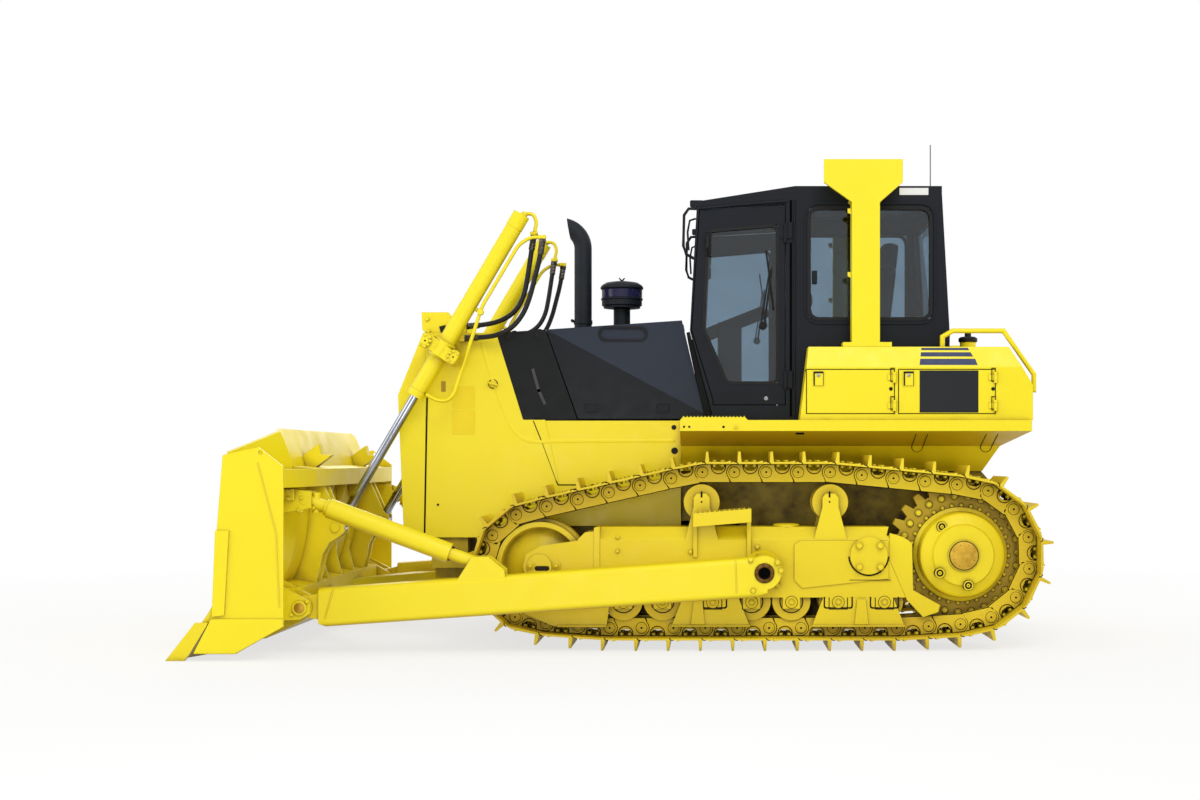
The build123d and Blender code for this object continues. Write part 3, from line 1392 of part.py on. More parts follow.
def along_blade(section, wing_from=0.0):
    """A section run along the blade's centre and out along both wings, or along part of them."""
    step = Vector(WING_FORWARD, WING_WIDTH, 0)
    wing = Solid.extrude(section.moved(Location(tuple(step * wing_from))), step * (1 - wing_from))
    if wing_from > 0:
        return pair(wing)
    middle = Solid.extrude(section, Vector(0, -2 * WING_Y, 0))
    return fused(middle, wing, mirrored(wing))


mould = along_blade(mould_section(MOULD_FRONT, MOULD_BACK, 40.0, SPILL_TOP))
# the spill guard's ends and the wings' tops slope down to the end plates
slope = [
    (SPILL_HALF, SPILL_TOP),
    (BLADE_HALF, END_TOP),
    (BLADE_HALF + 50, END_TOP),
    (BLADE_HALF + 50, SPILL_TOP + 200),
    (SPILL_HALF, SPILL_TOP + 200),
]
mould = cut(mould, *pair(slab(slope, BLADE_BACK_X - 200, BLADE_TIP_X + 200, "X")))
end_outline = [
    (BLADE_BACK_X, 203),
    (4421, 40),
    (4670, 40),
    (4558, 262),
    (4534, 262),
    (4534, 774),
    (4498, 1226),
    (4284, 1273),
    (BLADE_BACK_X, 1159),
]
skin_y = (BLADE_HALF - END_PLATE, BLADE_HALF - END_PLATE + END_SKIN)
lifting_hole = pin(4272, 1240, 14, skin_y[0] - 1, skin_y[1] + 1)
# on each end plate lie a wear strip along its front edge and the cheek over its foot
wear_strip = [(4540, 777), (4458, 777), (4486, 272), (4560, 262)]
cheek = [(4513, 250), (BLADE_BACK_X, 250), (BLADE_BACK_X, 203), (4421, 44), (4668, 44), (4566, 246)]
end_plate = fused(
    cut(slab(end_outline, *skin_y), lifting_hole),
    slab(wear_strip, skin_y[1] - 1, BLADE_HALF),
    slab(cheek, skin_y[1] - 1, BLADE_HALF),
)
save("blade_mould", fused(mould, end_plate, mirrored(end_plate)))

edge_section = [foot_point(0, 0), foot_point(0, CUT_HEIGHT), foot_point(EDGE_THICKNESS, CUT_HEIGHT)]
edge_section.append(foot_point(EDGE_THICKNESS, 0))
edge_face = Face(Wire.make_polygon([(x, WING_Y, z) for x, z in edge_section]))
# the end bits, whose ends show beyond the end plates
end_bit = slab(
    [(BLADE_TIP_X, 0), (4660, 227), (4582, 227), (4592, CUT_HEIGHT), (4692, 42), (4725, 0)],
    BLADE_HALF - END_PLATE,
    BLADE_HALF,
)
save("cutting_edge", fused(along_blade(edge_face), end_bit, mirrored(end_bit)))

# back structure, welded behind the mould: foot box, top box, ribs and the ears for pins
mould_room = along_blade(mould_section(-450.0, MOULD_BACK + SEAT, -60.0, SPILL_TOP + 100))
FOOT_BACK_X = 4150.0
foot_box = slab(
    [(4560, 70), (4400, 70), (FOOT_BACK_X, 190), (FOOT_BACK_X, 400), (4560, 480)],
    -WING_Y,
    WING_Y,
)
top_box = slab([(4400, 1010), (4080, 1030), (4080, 1140), (4400, 1180)], -WING_Y, WING_Y)

def plan(points, low, high):
    """A plate lying flat, from (x, y) points."""
    return slab(points, low, high, "Z")


wing_box = plan(
    [
        (FOOT_BACK_X, WING_Y - 1),
        (FOOT_BACK_X, ear_in[0] - 20),
        (FOOT_BACK_X + 260, BLADE_HALF - END_PLATE - SEAT),
        (BLADE_TIP_X - 37, BLADE_HALF - END_PLATE - SEAT),
        (BLADE_TIP_X - 237, WING_Y - 1),
    ],
    205,
    400,
)
wing_top = plan(
    [
        (4080, WING_Y - 1),
        (4137, BLADE_HALF - END_PLATE - SEAT),
        (BLADE_TIP_X - 137, BLADE_HALF - END_PLATE - SEAT),
        (BLADE_TIP_X - 337, WING_Y - 1),
    ],
    1030,
    1140,
)
arm_ear = [
    (4430, 205),
    (BLADE_PIN_X, BLADE_PIN_Z - 72),
    (BLADE_PIN_X - 62, BLADE_PIN_Z - 36),
    (BLADE_PIN_X - 62, BLADE_PIN_Z + 36),
    (BLADE_PIN_X, BLADE_PIN_Z + 72),
    (4480, 560),
]
strut_ear = [
    (STRUT_FRONT_X - 45, STRUT_FRONT_Z - 50),
    (4400, STRUT_FRONT_Z - 110),
    (4400, STRUT_FRONT_Z + 110),
    (STRUT_FRONT_X - 45, STRUT_FRONT_Z + 50),
]
# each lift ear is the top of a rib that sweeps down to the foot box in a hollow curve
lift_ear = [
    (EYE_X - 58, EYE_Z - 30),
    (EYE_X - 20, EYE_Z - 62),
    (EYE_X + 40, EYE_Z - 100),
    (EYE_X + 85, EYE_Z - 180),
    (EYE_X + 100, EYE_Z - 270),
    (FOOT_BACK_X + 5, 380),
    (4500, 380),
    (4480, 1035),
    (EYE_X + 75, 1035),
    (EYE_X - 20, EYE_Z + 62),
    (EYE_X - 58, EYE_Z + 30),
]
STRUT_GAP = 46.0
EYE_GAP = EYE_WIDTH / 2 + 8
LIFT_EAR = 30.0
ribs = [
    slab(
        [(FOOT_BACK_X + 5, 380), (4500, 380), (4500, 1040), (4120, 1040), (4190, 860), (4200, 560)],
        y,
        y + 25,
    )
    for y in (-420.0, -12.5, 395.0)
]
# a V-shaped stop on the back of the spill guard, above each lift cylinder's eye
stop_outline = [(4260, 1212), (4140, 1302), (4125, 1232), (4058, 1227), (4185, 1130), (4240, 1137)]
stop = slab(stop_outline, LIFT_Y - 45, LIFT_Y + 45)
ears = [
    slab(arm_ear, *ear_in),
    slab(arm_ear, *ear_out),
    slab(strut_ear, ARM_MID - STRUT_GAP - 25, ARM_MID - STRUT_GAP),
    slab(strut_ear, ARM_MID + STRUT_GAP, ARM_MID + STRUT_GAP + 25),
    slab(lift_ear, LIFT_Y - EYE_GAP - LIFT_EAR, LIFT_Y - EYE_GAP),
    slab(lift_ear, LIFT_Y + EYE_GAP, LIFT_Y + EYE_GAP + LIFT_EAR),
]
pins = [
    pin(BLADE_PIN_X, BLADE_PIN_Z, BLADE_PIN_R, ear_in[0], ear_out[1] + 14),
    pin(STRUT_FRONT_X, STRUT_FRONT_Z, 28, ARM_MID - STRUT_GAP - 26, ARM_MID + STRUT_GAP + 26),
    pin(EYE_X, EYE_Z, 30, LIFT_Y - EYE_GAP - LIFT_EAR - 12, LIFT_Y - EYE_GAP),
    pin(EYE_X, EYE_Z, 30, LIFT_Y + EYE_GAP, LIFT_Y + EYE_GAP + LIFT_EAR + 12),
]
weldment = fused(foot_box, top_box, *ribs, *pair(wing_box, wing_top, *ears, *pins, stop))
save("blade_frame", cut(weldment, mould_room))

# braces from the push arms to the middle of the blade's foot
brace = plan(
    [
        (3620, ARM_IN - SEAT),
        (3800, ARM_IN - SEAT),
        (FOOT_BACK_X - SEAT, 480),
        (FOOT_BACK_X - SEAT, 330),
    ],
    255,
    345,
)
save("push_arms", *pair(push_arm(), brace))


def strut(body_r, rod_r):
    """A strut from the blade's ear down to the bracket on the push arm."""
    front = Vector(STRUT_FRONT_X, ARM_MID, STRUT_FRONT_Z)
    rear = Vector(STRUT_REAR_X, ARM_MID, STRUT_REAR_Z)
    way = (rear - front).normalized()
    half = STRUT_GAP - SEAT
    yoke = pin(STRUT_FRONT_X, STRUT_FRONT_Z, 48, ARM_MID - half, ARM_MID + half)
    cross = rod(
        (STRUT_FRONT_X - 62, ARM_MID, STRUT_FRONT_Z - 80),
        (STRUT_FRONT_X - 62, ARM_MID, STRUT_FRONT_Z + 44),
        26,
    )
    eye = pin(STRUT_REAR_X, STRUT_REAR_Z, 48, ARM_MID - half, ARM_MID + half)
    whole = fused(
        yoke,
        cross,
        rod(front + way * 30, front + way * 160, rod_r),
        rod(front + way * 128, front + way * 176, body_r - 12),
        rod(front + way * 150, front + way * 950, body_r),
        rod(front + way * 940, rear - way * 30, rod_r),
        eye,
    )
    bores = [
        pin(STRUT_FRONT_X, STRUT_FRONT_Z, 28 + PIN_FIT, ARM_MID - 60, ARM_MID + 60),
    ]
    return cut(whole, *bores)


save("tilt_struts", strut(STRUT_R, 40.0), mirrored(strut(STRUT_R + 10, 36.0)))

# ---- lift cylinders ------------------------------------------------------------------------
LIFT_SIDE = Vector(LIFT_DIR.Z, 0, -LIFT_DIR.X) * -1  # square to a cylinder, forward and up
pivot_point = Vector(YOKE_X, LIFT_Y, YOKE_Z)
top_point = pivot_point - LIFT_DIR * BARREL_UP
gland_point = pivot_point + LIFT_DIR * BARREL_DOWN
eye_point = Vector(EYE_X, LIFT_Y, EYE_Z)
CHEEK_IN = LIFT_Y - COLLAR_R - 35
CHEEK_OUT = LIFT_Y + COLLAR_R + 35
GLAND = 60.0

cap_route = [(2806, 2806), (2752, 2808), (2728, 2754), (2742, 2690)]
gland_route = [
    (2686, 2645), (2760, 2648), (2840, 2601), (3079, 2198), (3108, 2110),
    (3262, 1626), (3306, 1580), (3372, 1584), (3445, 1622),
]
cap_pipe, _ = route([(x, pipe_cap_y, z) for x, z in cap_route], PIPE_D)
gland_pipe, _ = route([(x, pipe_gland_y, z) for x, z in gland_route], PIPE_D)
unions = [
    end_fitting(cap_hose[0], cap_hose[1], 52),
    end_fitting(gland_hose[0], gland_hose[1], 52),
    rod((2722, pipe_cap_y, 2680), (2770, pipe_cap_y, 2672), 17),
    rod((2664, pipe_gland_y, 2645), (2712, pipe_gland_y, 2645), 17),
]
clamp_point = Vector(3090, LIFT_Y, 2160)
clamp = [
    rod(clamp_point - LIFT_SIDE * 8, clamp_point + LIFT_SIDE * 70, 13),
    rod(
        (clamp_point.X, pipe_gland_y - 22, clamp_point.Z),
        (clamp_point.X, pipe_gland_y + 18, clamp_point.Z),
        20,
    ),
]
cap_elbow = rod(top_point + LIFT_DIR * 30, (cap_route[0][0], pipe_cap_y, cap_route[0][1]), 22)
barrel = fused(
    rod(top_point, gland_point, BARREL_R),
    rod(top_point, top_point + LIFT_DIR * 100, BARREL_R + 2),
    rod(gland_point - LIFT_DIR * 46, gland_point, BARREL_R + 4),
    cap_pipe,
    gland_pipe,
    *unions,
    *clamp,
    cap_elbow,
    rod(pivot_point - LIFT_DIR * 60, pivot_point + LIFT_DIR * 60, COLLAR_R),
    pin(YOKE_X, YOKE_Z, YOKE_PIN_R, CHEEK_IN, CHEEK_OUT),
)
barrel = cut(
    barrel,
    rod(top_point + LIFT_DIR * 40, gland_point - LIFT_DIR * GLAND, BARREL_BORE),
    rod(gland_point - LIFT_DIR * (GLAND + 10), gland_point + LIFT_DIR * 10, ROD_R + PIN_FIT),
)
save("lift_barrel_left", barrel)
save("lift_barrel_right", mirrored(barrel))

# two hoses to each cylinder
hoses = []
for name, points in (("cap", cap_hose), ("gland", gland_hose)):
    hose, tightest = route(points, HOSE_D)
    hoses.append(hose)
    print(f"{name} hose: tightest bend {tightest:.0f} mm")
save("lift_hoses", *pair(*hoses))
rod_end = eye_point - LIFT_DIR * ROD_LENGTH
lift_rod = fused(
    rod(rod_end, eye_point - LIFT_DIR * 20, ROD_R),
    rod(rod_end, rod_end + LIFT_DIR * 70, BARREL_BORE - 1),
    pin(EYE_X, EYE_Z, EYE_R, LIFT_Y - EYE_WIDTH / 2, LIFT_Y + EYE_WIDTH / 2),
)
save("lift_rod_left", lift_rod)
save("lift_rod_right", mirrored(lift_rod))

# the yoke: a ring round each barrel, square to it half way through its swing
YOKE_LEAN = radians(6.0)
way = LIFT_DIR.rotate(Axis.Y, -YOKE_LEAN * 180 / pi)


def yoke_rect(half_span, half_height):
    """A rectangle round the yoke's pivot, from (along its width, along the barrel)."""
    corners = [(-1, -1), (1, -1), (1, 1), (-1, 1)]
    return [
        (
            YOKE_X - way.Z * a * half_span + way.X * b * half_height,
            YOKE_Z + way.X * a * half_span + way.Z * b * half_height,
        )
        for a, b in corners
    ]


ring = cut(
    slab(yoke_rect(125, 42), CHEEK_IN, CHEEK_OUT),
    slab(yoke_rect(92, 80), CHEEK_IN + 30, CHEEK_OUT - 30),
)
boss = slab(yoke_rect(80, 42), BODY_HALF + SEAT, CHEEK_IN + 1)
yoke = cut(
    fused(ring, boss),
    pin(YOKE_X, YOKE_Z, YOKE_PIN_R + PIN_FIT, CHEEK_IN - SEAT, CHEEK_OUT + 1),
)
save("lift_yokes", *pair(yoke))

# ---- guards, rails, steps, lamps and trims -------------------------------------------------
rear_rollers, middle_rollers = ROLLER_STATIONS[:2], ROLLER_STATIONS[3:6]
guards = [
    sprocket_guard(),
    roller_guard(rear_rollers[0] - 129, rear_rollers[1] + 167, sum(rear_rollers) / 2),
    roller_guard(middle_rollers[0] + 11, middle_rollers[2] - 56, sum(middle_rollers[1:]) / 2 - 66),
    idler_guard(),
]
save("track_guards", *pair(*guards))


def tube(points, radius):
    """A bent round bar through points, with mitred corners."""
    path = Polyline(*points)
    start = Vector(*points[0])
    direction = (Vector(*points[1]) - start).normalized()
    section = Plane(origin=start, z_dir=direction) * Circle(radius)
    return sweep(section, path=path, transition=Transition.RIGHT)


RAIL_R = 16.0
RAIL_Y = 820.0
RAIL_TOP = BOX_TOP + 109
rail = tube(
    [
        (88, RAIL_Y, BOX_TOP + SEAT),
        (88, RAIL_Y, RAIL_TOP - 39),
        (20, RAIL_Y, RAIL_TOP),
        (-308, RAIL_Y, RAIL_TOP),
        (BOX_BACK - 30, RAIL_Y, RAIL_TOP - 282),
        (BOX_BACK - 30, RAIL_Y, RAIL_TOP - 384),
        (BOX_BACK - SEAT, RAIL_Y, RAIL_TOP - 384),
    ],
    RAIL_R,
)
save("handrails", *pair(rail.solid()))

lamp_y = (BODY_HALF - 200, BODY_HALF - 10)
lens_y = (lamp_y[0] + 30, lamp_y[1] - 30)
lens_z = (GUARD_TOP + 25, LAMP_TOP - 20)
lamp_side = [
    (3310, GUARD_TOP + SEAT),
    (3480, GUARD_TOP + SEAT),
    (3500, GUARD_TOP + 20),
    (3506, LAMP_TOP),
    (3330, LAMP_TOP),
    (3310, LAMP_TOP - 25),
]
lamp = cut(slab(lamp_side, *lamp_y), block((3420, 3510), lens_y, lens_z))
lens = block(
    (3470, 3476), (lens_y[0] + SEAT, lens_y[1] - SEAT), (lens_z[0] + SEAT, lens_z[1] - SEAT)
)
save("headlamps", *pair(lamp))
save("lamp_lenses", *pair(lens))
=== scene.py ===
# %% [markdown]
# # Dressing a crawler bulldozer
# The solids of the machine are already modelled and packed, and they stay as they are. This
# lesson gives them their finishes, adds the small parts that a solid model leaves out, such as
# bolts, hoses, trims and welds, and stands the machine in a plain pale studio. Each step says
# what the real thing is, how it could be made in Blender, and why this way was chosen.

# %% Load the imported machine
import math

import bmesh
import bpy
from mathutils import Matrix, Vector


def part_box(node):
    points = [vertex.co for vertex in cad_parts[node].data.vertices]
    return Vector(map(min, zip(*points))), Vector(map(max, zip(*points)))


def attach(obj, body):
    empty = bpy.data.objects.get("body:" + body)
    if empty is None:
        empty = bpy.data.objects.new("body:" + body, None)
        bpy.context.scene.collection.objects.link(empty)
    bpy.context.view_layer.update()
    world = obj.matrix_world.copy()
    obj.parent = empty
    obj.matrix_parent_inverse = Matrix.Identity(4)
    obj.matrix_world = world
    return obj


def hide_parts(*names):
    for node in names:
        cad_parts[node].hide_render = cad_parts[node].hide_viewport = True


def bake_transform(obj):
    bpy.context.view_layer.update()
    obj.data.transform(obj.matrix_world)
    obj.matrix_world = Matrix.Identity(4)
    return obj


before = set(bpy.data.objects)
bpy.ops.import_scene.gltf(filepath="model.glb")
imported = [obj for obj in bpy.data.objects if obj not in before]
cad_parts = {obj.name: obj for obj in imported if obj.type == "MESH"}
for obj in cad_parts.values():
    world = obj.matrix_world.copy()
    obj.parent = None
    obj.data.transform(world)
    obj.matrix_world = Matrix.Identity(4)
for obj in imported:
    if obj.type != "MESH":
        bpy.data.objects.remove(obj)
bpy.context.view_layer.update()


# %% [markdown]
# ## Places on the machine
# Makers measure a crawler from its sprocket's axis, from the ground up and from its middle
# plane. All the places below are written that way, in millimetres, so one function turns them
# into Blender's metres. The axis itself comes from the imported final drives.

# %% From the sprocket's axis to the scene
drive_low, drive_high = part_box("final_drives")
AXLE_X = (drive_low.x + drive_high.x) / 2
MM = 0.001


def at(x, y, z):
    """A place in millimetres: ahead of the sprocket's axis, left of the middle, above ground."""
    return Vector((AXLE_X + x * MM, y * MM, z * MM))


print("sprocket's axis at x =", round(AXLE_X, 4))

# %% [markdown]
# ## Camera
# A machine's side view is taken from far enough away that its wheels look round, with the
# camera level and square to it. The lens is a 50 mm one, 11.8 m from the middle plane and 1.2 m
# up. The view is framed with the lens shift, as an architect's camera does it, so upright
# edges stay upright.

# %% A level camera on the left side
camera_data = bpy.data.cameras.new("side_camera")
camera_data.lens = 50.6
camera_data.shift_x = -0.0908
camera_data.shift_y = 0.05
camera = bpy.data.objects.new("side_camera", camera_data)
camera.location = at(1602, 11760, 1196)
camera.rotation_euler = (math.radians(90), 0, math.radians(180))
bpy.context.scene.collection.objects.link(camera)
bpy.context.scene.camera = camera
print("camera at", tuple(round(v, 3) for v in camera.location))

# %% [markdown]
# ## Colour and nodes
# Paint makers give colours as sRGB hex values, and Blender's shaders want linear ones, so one
# function converts them. Another adds a node to a tree: its settings, and for each socket a
# plain value, a hex colour or the output that is linked into it. A MapRange's sockets, in
# order, are the value, where it runs from and to, and what that becomes. A colour Mix takes its
# share in socket 0 and its colours in sockets 6 and 7, and gives output 2.

# %% Helpers for materials
PATCH_MM = 500  # a noise of scale 1 has patches about this wide


def linear(code):
    """A hex sRGB colour as linear RGBA."""
    parts = [int(code[i : i + 2], 16) / 255 for i in (1, 3, 5)]
    return [c / 12.92 if c <= 0.04045 else ((c + 0.055) / 1.055) ** 2.4 for c in parts] + [1.0]


def adder(tree):
    """The function that adds nodes to one tree, which is emptied first."""
    tree.nodes.clear()

    def add(kind, sockets=(), out=0, **settings):
        """Add a node with its settings, values and links, and return one of its outputs."""
        made = tree.nodes.new("ShaderNode" + kind)
        for key, value in settings.items():
            setattr(made, key, value)
        for key, value in sockets.items() if isinstance(sockets, dict) else enumerate(sockets):
            if isinstance(value, bpy.types.NodeSocket):
                tree.links.new(value, made.inputs[key])
            else:
                made.inputs[key].default_value = linear(value) if isinstance(value, str) else value
        return made.outputs[out] if made.outputs else made

    return add


def new_finish(name, values, sockets_of):
    """A material of one Principled surface. sockets_of builds the nodes that feed its sockets."""
    material = bpy.data.materials.new(name)
    material.use_nodes = True
    add = adder(material.node_tree)
    add("OutputMaterial", (add("BsdfPrincipled", {**values, **sockets_of(add)}),))
    return material


print("yellow enamel in linear light:", [round(v, 3) for v in linear("#F3DF2A")])

# %% [markdown]
# ## Lift hoses
# Two steel-braided rubber hoses feed each lift cylinder. They hang in a free loop from the
# cylinder's unions to the radiator guard, because the cylinder swings as the blade rises. A hose
# is one smooth curve: a NURBS line through a few control points that a fitter would recognise,
# the union, the belly of the loop and the block where it lands. Its skin is swept from that
# line.

# %% The braided rubber


def hose_sockets(add):
    """Fine ribs round a hose, drawn 5 mm apart so that they show, with dull handling marks."""
    place = add("TexCoord", out="Object")
    ribs = {"Vector": place, "Scale": 1000 / 5 / 2, "Distortion": 1.5, "Detail": 2.0}
    ribs = add("TexWave", ribs, "Fac", bands_direction="DIAGONAL")
    dull = add("TexNoise", {"Vector": place, "Scale": PATCH_MM / 30})
    share = add("MapRange", (dull, 0.4, 0.7))
    return {
        "Base Color": add("Mix", {0: share, 6: "#0C0D0F", 7: "#1A1B1D"}, 2, data_type="RGBA"),
        "Roughness": add("MapRange", (dull, 0.3, 0.7, 0.38, 0.6)),
        "Normal": add("Bump", {"Strength": 0.5, "Distance": 0.6 * MM, "Height": ribs}),
    }


# synthetic rubber: a soft dark dielectric that stays half glossy where hands don't wear it
RUBBER = new_finish("nitrile_hose_rubber", {"IOR": 1.52, "Specular IOR Level": 0.3}, hose_sockets)
print("made", RUBBER.name)

# %% The hoses on their routes
HOSE_D = 33
HOSE_ROUTES = {
    "cap_hose": [
        (2752, 725, 2636), (2768, 725, 2530), (2788, 725, 2394), (2812, 718, 2268),
        (2868, 698, 2170), (2972, 652, 2110), (3092, 590, 2090), (3190, 560, 2086),
    ],
    "gland_hose": [
        (2689, 775, 2606), (2706, 775, 2500), (2736, 775, 2385), (2766, 770, 2265),
        (2812, 750, 2150), (2892, 718, 2058), (2998, 682, 2012), (3102, 662, 2002),
        (3190, 654, 1998),
    ],
}


def smooth_line(name, points):
    """A NURBS curve whose control points are the points."""
    curve = bpy.data.curves.new(name, "CURVE")
    curve.dimensions = "3D"
    curve.resolution_u = 12
    spline = curve.splines.new("NURBS")
    spline.points.add(len(points) - 1)
    for control, point in zip(spline.points, points):
        control.co = (*point, 1.0)
    spline.order_u = 3
    spline.use_endpoint_u = True
    return curve


def line_points(curve):
    """Places along a curve that has no skin yet."""
    holder = bpy.data.objects.new("line", curve)
    mesh = bpy.data.meshes.new_from_object(holder)
    places = [v.co.copy() for v in mesh.vertices]
    bpy.data.meshes.remove(mesh)
    bpy.data.objects.remove(holder)
    return places


def link(piece, material, body=None):
    """Put a piece in the scene with its finish, on its body, in its slot."""
    bpy.context.scene.collection.objects.link(piece)
    piece.data.materials.append(material)
    if body:
        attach(piece, body)
    return piece


def skin(curve, radius_mm):
    """A curve's tube as a mesh, smooth shaded."""
    curve.bevel_depth = radius_mm * MM
    curve.bevel_resolution = 6
    curve.use_fill_caps = True
    holder = bpy.data.objects.new("skin", curve)
    mesh = bpy.data.meshes.new_from_object(holder)
    bpy.data.objects.remove(holder)
    mesh.materials.clear()
    mesh.shade_smooth()
    return mesh


for side, sign in (("left", 1), ("right", -1)):
    for route, places in HOSE_ROUTES.items():
        name = f"{route}_{side}"
        curve = smooth_line(name, [at(x, sign * y, z) for x, y, z in places])
        path = line_points(curve)
        length = sum((b - a).length for a, b in zip(path, path[1:]))
        hose = bpy.data.objects.new(name, skin(curve, HOSE_D / 2))
        link(hose, RUBBER)
        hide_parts("lift_hoses")
        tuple(path[0])
        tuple(path[-1])
        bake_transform(hose)
        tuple(path[0])
        print(name, "is", round(length, 2), "m long")

# %% [markdown]
# ## Painted steel
# The body is welded plate and castings under sprayed two-part enamel. Enamel is a smooth
# dielectric film: no metal in it, an IOR near 1.5 and a roughness of about 0.35. One flat
# colour would look like plastic. What makes it paint is a slow drift of tone over a panel, the
# fine waviness called orange peel, and corners that are round and catch the light. Light and
# shade are also painted into its colour: a lighter tone on the corners is a painted highlight,
# and a darker one in sheltered places and on downward faces is painted shade. The Bevel node
# gives round corners to sharp solids without touching their mesh, and ambient occlusion finds
# the sheltered places.

# %% Enamel over plate or casting
# the ochre that is painted as shade on downward faces
UNDERSIDE_SHADE = "#9A7410"
ROUND_MM = 5  # the radius that enamel gives a sharp corner


def enamel(
    name, colour, deep, highlight_tone, shade_tone, gloss, grain_mm, grain_high, reach_mm, open_at=0.8, shine=0.5,
    under_shade=0.0,
):
    """Sprayed enamel. deep, worn and dirt are its tones in drifts, on corners and in gaps.

    Sprayed enamel. Its colour drifts towards deep. The next tone is a painted highlight on its
    corners, and the one after is painted shade in its gaps.

    Its grain is grain_mm wide and grain_high deep. A place counts as sheltered when something
    stands within reach_mm, and open_at is the share of open sky where the painted shade begins.
    The last argument is how much painted shade its downward faces get.
    """

    def sockets(add):
        place, flat = add("TexCoord", out="Object"), add("NewGeometry", out="Normal")
        drift, streak, grain = (
            add("TexNoise", {"Vector": place, "Scale": PATCH_MM / size, "Detail": detail})
            for size, detail in ((900, 3), (60, 4), (grain_mm, 2))
        )
        drift = add("MapRange", (drift, 0.4, 0.68))
        streak = add("MapRange", (streak, 0.35, 0.7))
        soft = add("Bevel", {"Radius": ROUND_MM * MM}, samples=4)
        turn = add("VectorMath", (soft, flat), "Value", operation="DOT_PRODUCT")
        # a lighter tone on the corners: a painted highlight
        corner = add("MapRange", (turn, 0.99, 0.8))
        highlit_corner = add("Math", (corner, streak), operation="MULTIPLY")
        # a darker tone where ambient occlusion finds shelter: painted shade
        light = add("AmbientOcclusion", {"Distance": reach_mm * MM}, "AO", samples=4)
        sheltered_shade = add("MapRange", (light, open_at, 0.25))
        patchy = add("MapRange", (streak, 0, 1, 0.55, 1))
        sheltered_shade = add("Math", (sheltered_shade, patchy), operation="MULTIPLY")
        # downward faces turn towards that ochre: painted shade
        down = add("MapRange", (add("SeparateXYZ", (flat,), "Z"), -0.3, -1, 0, under_shade))
        coat = colour
        for share, tone in ((drift, deep), (highlit_corner, highlight_tone), (down, UNDERSIDE_SHADE), (sheltered_shade, shade_tone)):
            coat = add("Mix", {0: share, 6: coat, 7: tone}, 2, data_type="RGBA")
        peel = {"Strength": 0.35, "Distance": grain_high * MM, "Height": grain, "Normal": soft}
        return {
            "Base Color": coat,
            "Roughness": add("MapRange", (streak, 0, 1, gloss, gloss + 0.14)),
            "Normal": add("Bump", peel),
        }

    return new_finish(name, {"IOR": 1.45, "Specular IOR Level": shine}, sockets)


# yellow enamel on smooth plate: clean, bright, with orange peel about 8 mm across, and painted
# shade on its downward faces
PLATE_ENAMEL = enamel(
    "yellow_enamel_on_plate", "#F6E314", "#F2DD11", "#FAEC48", "#8A6A0C", 0.36, 8, 0.15, 90,
    under_shade=0.7,
)
# the same enamel on sand castings: a coarser skin and more painted shade in the corners
CASTING_ENAMEL = enamel(
    "yellow_enamel_on_casting", "#F4DE14", "#E6CB10", "#F8E63C", "#6B4A0C", 0.42, 14, 0.5, 130, 0.9
)
# the chain and its wheels: enamel darkened to ochre by painted shade almost everywhere, with a
# painted highlight on their corners
CHAIN_ENAMEL = enamel(
    "enamel_on_forging_with_painted_shade", "#EFD520", "#D3B41B", "#F6DF30", "#3A2508", 0.5, 18, 0.6, 70, 0.97
)
# the sprocket's disc: a darker, browner yellow painted as the shade that it stands in, with the
# same painted shade in its corners as the chain
SPROCKET_ENAMEL = enamel(
    "enamel_on_sprocket_darkened_as_shade", "#C7A91C", "#A98A18", "#E3C92A", "#3A2508", 0.5, 18, 0.6, 70, 0.97
)
# the case and frame between the tracks: a darker yellow under deep brown painted shade, painted
# wherever anything stands within 700 mm
SHELTERED_ENAMEL = enamel(
    "enamel_under_deep_painted_shade", "#D8BE16", "#D0B314", "#E6CC2C", "#2E1F0E", 0.5, 20, 0.6, 700, 0.97
)
# charcoal enamel on the cab and hood
CAB_ENAMEL = enamel(
    "charcoal_enamel", "#12161E", "#0F1318", "#2A313B", "#07090B", 0.4, 8, 0.12, 60, shine=0.2
)
COWL_ENAMEL = enamel(
    "black_enamel_on_cowl", "#131517", "#0F1112", "#2B2D30", "#070808", 0.42, 8, 0.12, 60, shine=0.2
)
# exhaust black: a matt heat-proof paint on rolled tube
HEAT_ENAMEL = enamel(
    "heat_proof_black", "#1B1F26", "#14171C", "#333840", "#090A0C", 0.5, 6, 0.2, 60, shine=0.25
)
# wear plates at the cutting edge: scratched enamel with a pale painted highlight on its corners
EDGE_ENAMEL = enamel(
    "yellow_enamel_on_wear_steel", "#EFDA18", "#E2CA14", "#F6E86A", "#5D430F", 0.38, 10, 0.3, 80
)
print("nine enamels")

# %% [markdown]
# ## A painted highlight on the engine covers
# Each engine cover is pressed with a crease from its top front corner down to its rear foot.
# The half above the crease leans back and catches more light, and that light is painted into
# its colour as a lighter tone. A plane through the crease tells which side a point is on, and a
# ramp 6 mm wide is the soft fold.

# %% Charcoal enamel with a painted highlight above the crease
CREASE_FRONT = at(2661, 0, 2050)
CREASE_REAR = at(1628, 0, 1500)
FOLD_HALF = 3  # millimetres
crease = CREASE_REAR - CREASE_FRONT
above_crease = Vector((crease.z, 0, -crease.x)).normalized()


